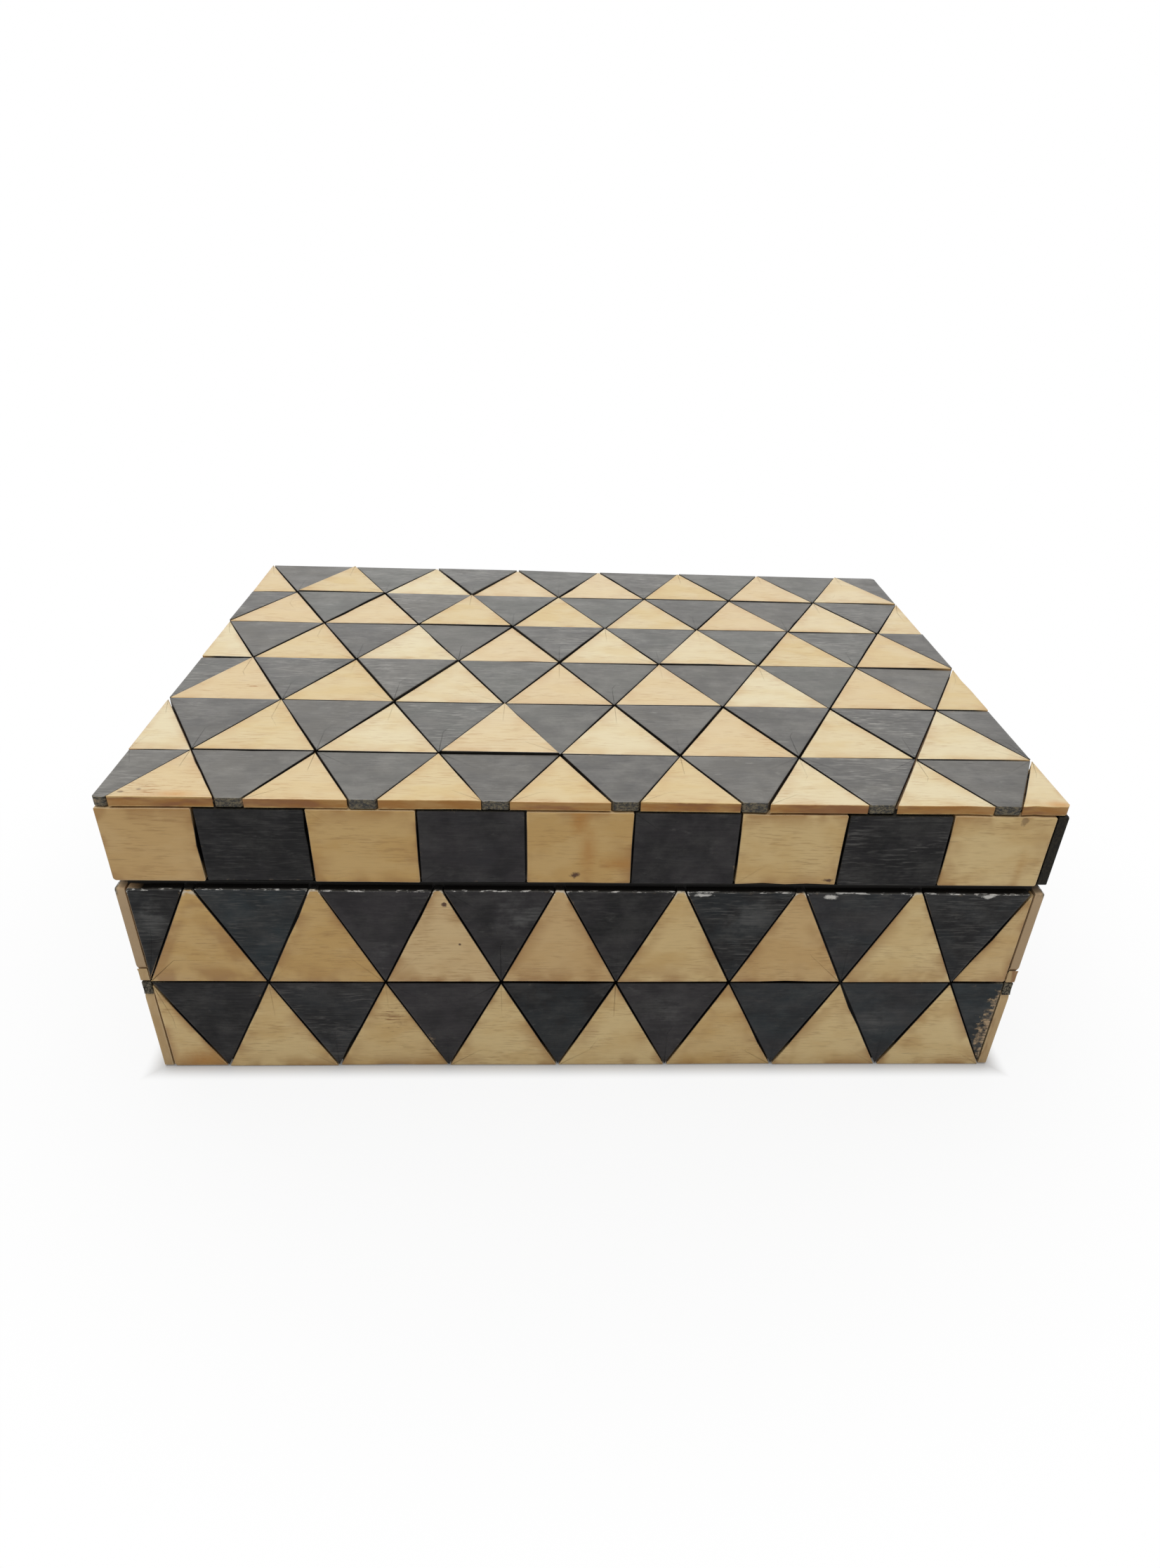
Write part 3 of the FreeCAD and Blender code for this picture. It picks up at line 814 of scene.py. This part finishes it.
@dataclass(frozen=True)
class TileMake:
    """How a tile is worked: lengths in millimetres, chances and shares from 0 to 1."""

    thick: float = 2.1
    arris_in: float = 0.14
    arris_share: float = 0.2
    arris_down: float = 0.08
    wear_in: float = 0.45
    wear_share: float = 0.3
    stain_in: float = 4.4
    stain_share: float = 0.6
    corner_cut: Pair = (0.06, 0.32)
    outer_cut: Pair = (0.2, 0.55)
    cut_share: float = 0.3
    cut_draw: float = 0.55
    corner_shift: float = 0.07
    draw_in: float = 0.16
    wave: float = 0.025
    full_wave_from: float = 6.0
    chip_chance: float = 0.05
    chip_depth: float = 0.3
    raise_sd: float = 0.07
    proud_chance: float = 0.12
    proud_raise: float = 0.26
    raise_limits: Pair = (-0.15, 0.4)
    tilt_sd: float = 0.0035
    end_step: float = 0.12
    tip_step: float = 0.6


@dataclass
class TileSkin:
    """All tiles of one kind on one face, cut as in the CAD node that they stand for."""

    node: str
    body: str
    face: Face
    dye: Dye
    seed: int
    make: TileMake = TileMake()
    rim_high: bool = False

    def __post_init__(self) -> None:
        """Find the ends of the face: how far any tile on it reaches along and up, in millimetres."""
        names = [self.node.replace(self.dye.name.lower(), dye.name.lower()) for dye in Dye]
        ends = np.array([list(corner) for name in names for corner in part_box(name)]) / MM
        flat = ends @ np.array(self.face.value[:2], float).T
        self.low, self.high = flat.min(0), flat.max(0)

    def tile_corners(self, node: Piece) -> tuple[list[Array], float]:
        """Outlines of the tiles as the CAD node has them.

        Args:
            node: The CAD node's object.

        Returns:
            For each tile its corners along and up the face, counter-clockwise, and the height of the
            wood under the tiles, in millimetres.
        """
        places, triangles = welded(node)
        across, up, out = (np.array(axis, float) for axis in self.face.value)
        height = places @ out
        flat = np.stack((places @ across, places @ up), -1)
        # Corners that share triangles take the lowest number among them, until each tile has one
        label = np.arange(len(places))
        while True:
            lowest = label.copy()
            np.minimum.at(lowest, triangles.reshape(-1), np.repeat(label[triangles].min(1), 3))
            if np.array_equal(lowest, label):
                break
            label = lowest
        floor = float(height.min())
        on_face = height > floor + self.make.thick / 2
        tiles = []
        for tile in np.unique(label):
            corners = flat[on_face & (label == tile)]
            middle = corners.mean(0)
            turn = np.arctan2(corners[:, 1] - middle[1], corners[:, 0] - middle[0])
            corners = corners[np.argsort(turn)]
            before = corners - np.roll(corners, 1, 0)
            after = np.roll(corners, -1, 0) - corners
            bend = before[:, 0] * after[:, 1] - before[:, 1] * after[:, 0]
            limit = STRAIGHT * np.linalg.norm(before, axis=1) * np.linalg.norm(after, axis=1)
            tiles.append(corners[np.abs(bend) > limit])
        return tiles, floor

    def planed_tips(self, corners: Array) -> Array:
        """Widen the pale tips that the rim cuts off, and narrow the dark tiles beside them.

        Args:
            corners: The tile's corners.

        Returns:
            The corners, with those at the rim moved along it.
        """
        along, up = corners.T
        at_rim = up > self.high[1] - AT_END_MM
        if not at_rim.any():
            return corners
        inside = (along > self.low[0] + AT_END_MM) & (along < self.high[0] - AT_END_MM)
        away = np.sign(along - along[at_rim].mean())
        step = self.make.tip_step if self.dye is Dye.PALE else -self.make.tip_step
        return np.stack((along + np.where(at_rim & inside, away * step, 0.0), up), -1)

    def worked_outline(self, corners: Array, rng: Rng) -> tuple[Array, Array]:
        """Outline with cut corners and slightly uneven edges.

        Each edge carries six samples: the corner, drawn in along its bisector, a point where its cut
        ends, three points along the edge, and a point where the next cut begins.

        Args:
            corners: The tile's corners.
            rng: Seeded random numbers.

        Returns:
            Samples of the outline, and the inward direction at each.
        """
        make = self.make
        count = len(corners)
        at_low = corners < self.low + AT_END_MM
        at_end = at_low | (corners > self.high - AT_END_MM)
        shift = rng.uniform(-make.corner_shift, make.corner_shift, (count, 2))
        to_middle = corners.mean(0) - corners
        to_middle /= np.linalg.norm(to_middle, axis=1)[:, None]
        shift += to_middle * rng.uniform(0.0, make.draw_in, (count, 1))
        inward = np.where(at_low, 1.0, -1.0)
        step = rng.uniform(0.0, make.end_step)
        corners = corners + np.where(at_end, inward * step * (0.5 + rng.random((count, 2))), shift)
        edge = np.roll(corners, -1, 0) - corners
        length = np.linalg.norm(edge, axis=1)
        normal = np.stack((-edge[:, 1], edge[:, 0]), -1) / length[:, None]
        before = np.roll(normal, 1, 0)
        miter = (normal + before) / (1.0 + np.sum(normal * before, 1))[:, None].clip(LEAST_MITER)
        cut = rng.uniform(*make.corner_cut, count)
        cut = np.where(at_end.all(1), rng.uniform(*make.outer_cut, count), cut)
        cut = np.minimum(cut, make.cut_share * np.minimum(length, np.roll(length, 1)))
        inner = np.broadcast_to(EDGE_PARTS, (count, len(EDGE_PARTS)))
        part = np.column_stack((np.zeros(count), cut / length, inner, 1.0 - np.roll(cut, -1) / length))
        points = corners[:, None, :] + part[..., None] * edge[:, None, :]
        points[:, 0] += miter / np.linalg.norm(miter, axis=1)[:, None] * (make.cut_draw * cut)[:, None]
        dip = np.abs(rng.normal(0.0, make.wave, part.shape))
        dip += make.chip_depth * rng.random(part.shape) * (rng.random(part.shape) < make.chip_chance)
        dip[:, CUT_SAMPLES] = 0.0
        dip *= np.minimum(1.0, length / make.full_wave_from)[:, None]
        points += dip[..., None] * normal[:, None, :]
        inwards = np.repeat(normal[:, None, :], part.shape[1], 1)
        inwards[:, 0] = miter
        return points.reshape(-1, 2), inwards.reshape(-1, 2)

    def tile(self, corners: Array, rng: Rng) -> tuple[Array, dict[str, Array]]:
        """One tile as rings from its foot, over the arris and in across its face.

        The face is a plane with a small tilt. The last two rings are the arris ring drawn towards the
        tile's middle by fixed distances.

        Args:
            corners: The tile's corners.
            rng: Seeded random numbers.

        Returns:
            Ring places along, up and out of the face, and its attributes by name.
        """
        make = self.make
        outline, inwards = self.worked_outline(corners, rng)
        middle = outline.mean(0)
        reach = np.sum((outline - middle) * inwards, 1) / np.linalg.norm(inwards, axis=1)
        inner = np.abs(reach).min().clip(LEAST_INNER_MM)
        arris = outline + inwards * min(make.arris_in, make.arris_share * inner)
        worn = middle + (arris - middle) * (1.0 - min(make.wear_share, make.wear_in / inner))
        stained = middle + (arris - middle) * (1.0 - min(make.stain_share, make.stain_in / inner))
        rings = np.stack((outline, outline, arris, worn, stained))
        lift = rng.normal(0.0, make.raise_sd)
        lift += make.proud_raise * (rng.random() < make.proud_chance) * rng.random()
        tilt = rng.normal(0.0, make.tilt_sd, 2)
        heights = make.thick + np.clip(lift, *make.raise_limits) + (rings - middle) @ tilt
        heights[0] = 0.0
        heights[1] -= make.arris_down
        places = np.concatenate((rings, heights[..., None]), -1).reshape(-1, 3)
        offset = rng.uniform(-GRAIN_SPREAD_MM, GRAIN_SPREAD_MM, 2) - middle
        at_rim = (outline[:, 1] > self.high[1] - NEAR_RIM_MM) & self.rim_high
        near_end = (outline < self.low + NEAR_END_MM) | (outline > self.high - NEAR_END_MM)
        at_end = near_end.any(1)
        # Sides in joints get grime, and sides along the base's top rim get painted shade for the gap under
        # the lid
        in_joint_and_shade = ~at_end | (at_rim & ~near_end[:, 0])
        return places, {
            "tile_place": places + np.append(offset, 0.0),
            "tile_tone": np.full(len(places), rng.random()),
            "tile_edge": np.repeat(EDGE_RINGS, len(outline)),
            "tile_side": np.outer(SIDE_RINGS, at_end).reshape(-1),
            "tile_joint": np.outer(SIDE_RINGS, in_joint_and_shade).reshape(-1),
            "tile_rim": np.outer(RIM_RINGS, at_rim).reshape(-1),
        }

    def build(self, node: Piece, material: Material) -> None:
        """Build the piece and set it in the node's place.

        Args:
            node: The CAD node's object.
            material: Its finish.
        """
        rng = np.random.default_rng(self.seed)
        outlines, floor = self.tile_corners(node)
        places, faces, values, start = [], [], [], 0
        for corners in outlines:
            tile, marks = self.tile(self.planed_tips(corners) if self.rim_high else corners, rng)
            count = len(tile) // RINGS
            faces.extend((grid_quads(RINGS, count, True) + start).tolist())
            faces.append(list(range(start + len(tile) - count, start + len(tile))))
            faces.append(list(range(start + count - 1, start - 1, -1)))
            places.append(tile)
            values.append(marks)
            start += len(tile)
        local = np.concatenate(places)
        local[:, 2] += floor
        piece = new_piece(f"{self.node}_worked", local @ np.array(self.face.value, float), faces)
        for name in values[0]:
            data = np.concatenate([marks[name] for marks in values]).astype(np.float32)
            kind, key = ("FLOAT_VECTOR", "vector") if data.ndim == 2 else ("FLOAT", "value")
            layer = piece.data.attributes.new(name, kind, "POINT")
            layer.data.foreach_set(key, data.reshape(-1))
        piece.data.set_sharp_from_angle(angle=math.radians(TILE_SHARP_DEG))
        stand_in(piece, self.node, self.body, material)


class TileSkins:
    """The whole tile skin of the base and the lid."""

    sides = (Face.FRONT, Face.RIGHT, Face.BACK, Face.LEFT)
    wall_seed = 15
    wall_seed_step = 7
    band_seed = 61
    band_seed_step = 5
    side_dark_seed = 100
    top_seed = 311
    top_dark_seed = 9
    top_make = TileMake(raise_sd=0.09, proud_chance=0.25, proud_raise=0.36, corner_shift=0.1,
                        draw_in=0.24, outer_cut=(0.3, 1.1), end_step=0.3)

    def __init__(self, effects: Effects) -> None:
        """Make the bone finishes. The front face has its own, with its single marks.

        Args:
            effects: The shared effects.
        """
        pale = PaleBone("bone_natural")
        wall = DarkBone("bone_dyed_wall", 0.36, bare_above_mm=27.0, sawn=(0.32, 0.28, 0.2), edge_speck=0.7)
        band = DarkBone("bone_dyed_band", 0.8, edge_speck=0.1)
        # The lid is bleached or greyed by handling, and more polished than the walls. Its dark tiles are
        # lighter grey partly from handling and partly as a painted sheen of the bright surroundings
        lid_pale = PaleBone(
            "bone_natural_lid", gloss_ior=1.5, border_stain=0.4, spots=LID_SPOTS, up_axis="Y",
            light=(0.67, 0.575, 0.365), warm=(0.59, 0.445, 0.215), rosy=(0.625, 0.48, 0.275),
            sawn=(0.42, 0.185, 0.034), sawn_pale_and_highlight=(0.67, 0.44, 0.17))
        lid_dark = DarkBone(
            "bone_dyed_lid", 0.74, gloss_ior=1.55, edge_speck=0.85, streak=(0.26, 0.25, 0.225),
            body=(0.079, 0.073, 0.062), bluish=(0.074, 0.075, 0.066), deep=(0.046, 0.043, 0.039))
        self.pale = pale.build(effects)
        self.front_pale = replace(pale, name="bone_natural_front", spots=FRONT_SPOTS).build(effects)
        self.wall_dark = wall.build(effects)
        self.front_dark = replace(wall, name="bone_dyed_wall_front", spots=FRONT_SPOTS).build(effects)
        self.band_dark = band.build(effects)
        self.lid_pale = lid_pale.build(effects)
        self.lid_dark = lid_dark.build(effects)

    def skins(self) -> list[tuple[TileSkin, Material]]:
        """List every skin with its finish.

        Returns:
            Skins and finishes in pairs.
        """
        made = []
        for index, face in enumerate(self.sides):
            name = face.name.lower()
            is_front = face is Face.FRONT
            pale = self.front_pale if is_front else self.pale
            dark = self.front_dark if is_front else self.wall_dark
            for dye, on_wall, on_band in ((Dye.PALE, pale, pale), (Dye.DARK, dark, self.band_dark)):
                tiles = f"{dye.name.lower()}_tiles"
                extra = self.side_dark_seed * (dye is Dye.DARK)
                seed = self.wall_seed + self.wall_seed_step * index + extra
                wall = TileSkin(f"base_{name}_{tiles}", "base", face, dye, seed, rim_high=True)
                seed = self.band_seed + self.band_seed_step * index + extra
                band = TileSkin(f"lid_{name}_band_{tiles}", "lid", face, dye, seed)
                made += [(wall, on_wall), (band, on_band)]
        for dye, finish in ((Dye.PALE, self.lid_pale), (Dye.DARK, self.lid_dark)):
            seed = self.top_seed + self.top_dark_seed * (dye is Dye.DARK)
            node = f"lid_top_{dye.name.lower()}_tiles"
            made.append((TileSkin(node, "lid", Face.TOP, dye, seed, self.top_make), finish))
        return made

    def build(self, nodes: dict[str, Piece]) -> None:
        """Build and dress every skin, from the CAD nodes' objects by name."""
        for skin, material in self.skins():
            skin.build(nodes[skin.node], material)


@dataclass
class Carcass:
    """The wooden boards, with eased edges."""

    ease_mm: float = 0.35
    ease_segments: int = 2
    ease_over_deg: float = 50.0
    flat_deg: float = 1.0
    stain_in_mm: float = 0.75
    rims_mm: Pair = (53.2, 53.5)

    def board(self, node: Piece, body: str, material: Material) -> None:
        """Copy a CAD board, weld it, clear its flat faces of inner edges and ease its edges.

        Args:
            node: The CAD node's object.
            body: The body that it rides on.
            material: Its finish.
        """
        places, triangles = welded(node)
        piece = new_piece(f"{node.name}_eased", places, triangles.tolist())
        shape = bmesh.new()
        shape.from_mesh(piece.data)
        flat = math.radians(self.flat_deg)
        bmesh.ops.dissolve_limit(shape, angle_limit=flat, verts=shape.verts, edges=shape.edges)
        shape.to_mesh(piece.data)
        shape.free()
        ease = piece.modifiers.new("ease", "BEVEL")
        ease.width = self.ease_mm * MM
        ease.segments = self.ease_segments
        ease.limit_method = "ANGLE"
        ease.angle_limit = math.radians(self.ease_over_deg)
        ease.harden_normals = True
        stand_in(piece, node.name, body, material)

    def build(self, nodes: dict[str, Piece], effects: Effects) -> None:
        """Build and dress every board, with a stain that follows the carcass.

        Args:
            nodes: The CAD nodes' objects by name.
            effects: The shared effects.
        """
        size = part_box("base_back_board")[1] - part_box("base_front_board")[0]
        half = (size.x / 2 / MM - self.stain_in_mm, size.y / 2 / MM - self.stain_in_mm)
        lengthwise = BoxWood("box_wood_lengthwise", 0.0, half, self.rims_mm).build(effects)
        crosswise = BoxWood("box_wood_crosswise", 90.0, half, self.rims_mm).build(effects)
        for name, node in sorted(nodes.items()):
            if not name.endswith(("_board", "_rail")):
                continue
            is_cross = "_left_" in name or "_right_" in name
            body = "lid" if name.startswith("lid") else "base"
            self.board(node, body, crosswise if is_cross else lengthwise)


@dataclass
class Hinges:
    """The brass hinges: CAD leaves and pins, and screws with slotted heads."""

    head_mm: float = 1.4
    head_deep_mm: float = 0.6
    shank_mm: float = 0.7
    length_mm: float = 7.0
    point_mm: float = 1.6
    point_radius_mm: float = 0.05
    slot_half_mm: float = 0.17
    slot_deep_mm: float = 0.32
    slot_wall_share: float = 0.004
    face_rows: Triple = (-1.0, -0.85, -0.5)
    face_share: float = 0.995
    columns: int = 9
    around: int = 24
    sharp_deg: float = 35.0
    base_seed: int = 5
    lid_seed: int = 6

    def screw(self, spot: Array, up: float, turn: float) -> tuple[Array, Array]:
        """One countersunk screw with a slot across its head.

        The head's face is rows of points at fixed distances across the slot, each row as wide as the
        disc there, and rows inside the slot lie deeper. The body is rings of a turned profile.

        Args:
            spot: Middle of the head's face, in millimetres.
            up: 1 where the head faces up, -1 where it faces down.
            turn: Turn of the slot, in radians.

        Returns:
            Places in millimetres and rows of four corner numbers.
        """
        slot = self.slot_half_mm / self.head_mm
        across = np.array((*self.face_rows, -slot - self.slot_wall_share, -slot))
        across = np.concatenate((across, -across[::-1])) * self.head_mm * self.face_share
        along = np.linspace(-1.0, 1.0, self.columns)
        wide = np.sqrt(np.maximum(self.head_mm**2 - across**2, 0.0))
        deep = np.where(np.abs(across) <= self.slot_half_mm, -self.slot_deep_mm, 0.0)
        face = np.broadcast_arrays(along[None, :] * wide[:, None], across[:, None], deep[:, None])
        face = np.stack(face, -1).reshape(-1, 3)
        quads = grid_quads(len(across), self.columns, False)
        angle = np.linspace(0.0, 2 * math.pi, self.around, endpoint=False)
        radius = np.array((self.head_mm, self.shank_mm, self.shank_mm, self.point_radius_mm))[:, None]
        depth = (0.0, self.head_deep_mm, self.length_mm - self.point_mm, self.length_mm)
        depth = -np.array(depth)[:, None]
        turned = np.broadcast_arrays(radius * np.cos(angle), radius * np.sin(angle), depth)
        body = grid_quads(len(radius), self.around, True)[:, ::-1] + len(face)
        places = np.concatenate((face, np.stack(turned, -1).reshape(-1, 3)))
        cosine, sine = math.cos(turn), math.sin(turn)
        places = places @ np.array(((cosine, sine, 0), (-sine, cosine, 0), (0, 0, 1)))
        if up < 0:
            places = places * np.array((1.0, -1.0, -1.0))
        return places + spot, np.concatenate((quads, body))

    def screws(self, node: Piece, body: str, up: float, material: Material, seed: int) -> None:
        """Build the four screws of one body, where the CAD node has them.

        Args:
            node: The CAD node's object.
            body: The body that they ride on.
            up: 1 where the heads face up, -1 where they face down.
            material: Their finish.
            seed: Seed for the turn of the slots.
        """
        low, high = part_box(node.name)
        level = (high.z if up > 0 else low.z) / MM
        rng = np.random.default_rng(seed)
        places, faces, start = [], [], 0
        for x, y in self.screw_centres(node):
            points, quads = self.screw(np.array((x, y, level)), up, rng.uniform(0.0, math.pi))
            places.append(points)
            faces.extend((quads + start).tolist())
            start += len(points)
        piece = new_piece(f"{node.name}_slotted", np.concatenate(places), faces)
        piece.data.set_sharp_from_angle(angle=math.radians(self.sharp_deg))
        stand_in(piece, node.name, body, material)

    def screw_centres(self, node: Piece) -> Array:
        """Middles of the screws of a CAD node, in millimetres.

        Args:
            node: The CAD node's object.

        Returns:
            Rows of x and y.
        """
        places, _ = welded(node)
        order = places[np.argsort(places[:, 0])]
        breaks = np.flatnonzero(np.diff(order[:, 0]) > self.head_mm) + 1
        groups = np.split(order[:, :2], breaks)
        return np.array([(group.min(0) + group.max(0)) / 2 for group in groups])

    def build(self, nodes: dict[str, Piece]) -> None:
        """Dress the leaves and pins, and build the screws.

        Args:
            nodes: The CAD nodes' objects by name.
        """
        brass = HingeBrass().build()
        for name, node in nodes.items():
            if name.endswith(("_leaf", "_pin")):
                node.data.materials.clear()
                node.data.materials.append(brass)
        self.screws(nodes["base_hinge_screws"], "base", 1.0, brass, self.base_seed)
        self.screws(nodes["lid_hinge_screws"], "lid", -1.0, brass, self.lid_seed)


@dataclass
class Studio:
    """Plain floor, white surroundings, soft light from above and the camera."""

    camera_mm: Triple = (-9.12, -250.89, 175.21)
    aim_mm: Triple = (1.43, -77.4, 60.61)
    roll_deg: float = 2.367
    lens_mm: float = 22.505
    sensor_mm: float = 36.0
    shift: Pair = (-0.0118, 0.0484)
    clip_start_m: float = 0.01
    floor_half_m: float = 3.0
    floor_colour: Colour = (0.58, 0.58, 0.58)
    floor_rough: float = 0.9
    white_from_m: Pair = (0.11, 0.2)
    white_near: float = 0.9
    # Band along the box's foot where the floor is painted darker as a contact shadow, over its own shadow
    footprint_mm: Pair = (101.1, 77.4)
    contact_shadow_mm: Pair = (-1.0, 5.0)
    white_in_contact_shadow: float = 0.1
    fill_strength: float = 0.4
    lamp_watts: float = 16.0
    lamp_m: Triple = (-0.15, 0.12, 1.35)
    lamp_size_m: float = 1.3

    def seen(self, sheet: NodeSheet) -> Value:
        """Mask of the rays that see the background: camera, glossy and transmission rays.

        Args:
            sheet: The nodes of the floor or the world.

        Returns:
            The mask.
        """
        names = ("Is Camera Ray", "Is Glossy Ray", "Is Transmission Ray")
        camera, glossy, through = (sheet.value("ShaderNodeLightPath", {}, name) for name in names)
        return camera.larger(glossy).larger(through)

    def build_floor(self) -> None:
        """Lay a pale floor that turns white away from the box and keeps its shadow, and is painted darker
        along the box's foot as a contact shadow.
        """
        half = self.floor_half_m / MM
        corners = np.array(((-half, -half, 0), (half, -half, 0), (half, half, 0), (-half, half, 0)), float)
        floor = new_piece("floor", corners, [[0, 1, 2, 3]])
        sheet = MaterialSheet("floor_pale", self.floor_colour)
        material = sheet.finish({"Roughness": self.floor_rough, "Specular IOR Level": 0.0})
        here = sheet.here()
        length = sheet.value("ShaderNodeVectorMath", {0: here}, "Value", operation="LENGTH")
        white = length.band(*self.white_from_m, self.white_near, 1.0) * self.away_from_contact_shadow(here)
        plain = Value(sheet, sheet.shader.outputs["BSDF"])
        glow = sheet.value("ShaderNodeEmission", {"Strength": 1.0})
        mixed = sheet.value("ShaderNodeMixShader", {0: white * self.seen(sheet), 1: plain, 2: glow})
        sheet.feed(sheet.tree.nodes["Material Output"].inputs["Surface"], mixed)
        floor.data.materials.append(material)

    def away_from_contact_shadow(self, here: Value) -> Value:
        """Share of white next to the box: little under its edge, where the grey floor paints a contact
        shadow, all of it a few millimetres away.
        """
        far = [here.axis(axis).math("ABSOLUTE") - half * MM for axis, half in zip("XY", self.footprint_mm)]
        return far[0].larger(far[1]).band(*(end * MM for end in self.contact_shadow_mm), self.white_in_contact_shadow)

    def build_world(self) -> None:
        """Surround the box with white that lights it softly."""
        world = bpy.data.worlds.new("white_room")
        world.use_nodes = True
        sheet = NodeSheet(world.node_tree)
        back = world.node_tree.nodes["Background"]
        sheet.feed(back.inputs["Color"], (1.0, 1.0, 1.0))
        sheet.feed(back.inputs["Strength"], self.seen(sheet).band(0.0, 1.0, self.fill_strength, 1.0))
        bpy.context.scene.world = world

    def build_lamp(self) -> None:
        """Hang one large soft lamp above the box, aimed at its foot."""
        lamp = bpy.data.lights.new("soft_lamp", "AREA")
        lamp.energy = self.lamp_watts
        lamp.shape = "DISK"
        lamp.size = self.lamp_size_m
        holder = new_object("soft_lamp", lamp)
        holder.location = self.lamp_m
        holder.rotation_euler = (-Vector(self.lamp_m)).to_track_quat("-Z", "Y").to_euler()

    def build_camera(self) -> None:
        """Set the camera at the picture's own place, aim and roll."""
        lens = bpy.data.cameras.new("camera")
        lens.lens = self.lens_mm
        lens.sensor_width = self.sensor_mm
        lens.sensor_fit = "AUTO"
        lens.shift_x, lens.shift_y = self.shift
        lens.clip_start = self.clip_start_m
        camera = new_object("camera", lens)
        place = Vector(self.camera_mm) * MM
        ahead = (Vector(self.aim_mm) * MM - place).normalized()
        level = ahead.cross(Vector((0, 0, 1))).normalized()
        above = level.cross(ahead)
        roll = math.radians(self.roll_deg)
        right = level * math.cos(roll) + above * math.sin(roll)
        upward = right.cross(ahead)
        turn = Matrix((right, upward, -ahead)).transposed()
        camera.matrix_world = Matrix.Translation(place) @ turn.to_4x4()
        bpy.context.scene.camera = camera

    def build(self) -> None:
        """Build the whole studio."""
        self.build_floor()
        self.build_world()
        self.build_lamp()
        self.build_camera()
        bpy.context.scene.view_settings.view_transform = "Standard"


def main() -> None:
    """Build the box round its frame."""
    logging.basicConfig(level=logging.INFO)
    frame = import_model()
    effects = Effects()
    TileSkins(effects).build(frame["nodes"])
    Carcass().build(frame["nodes"], effects)
    Hinges().build(frame["nodes"])
    Studio().build()


if __name__ == "__main__":
    main()
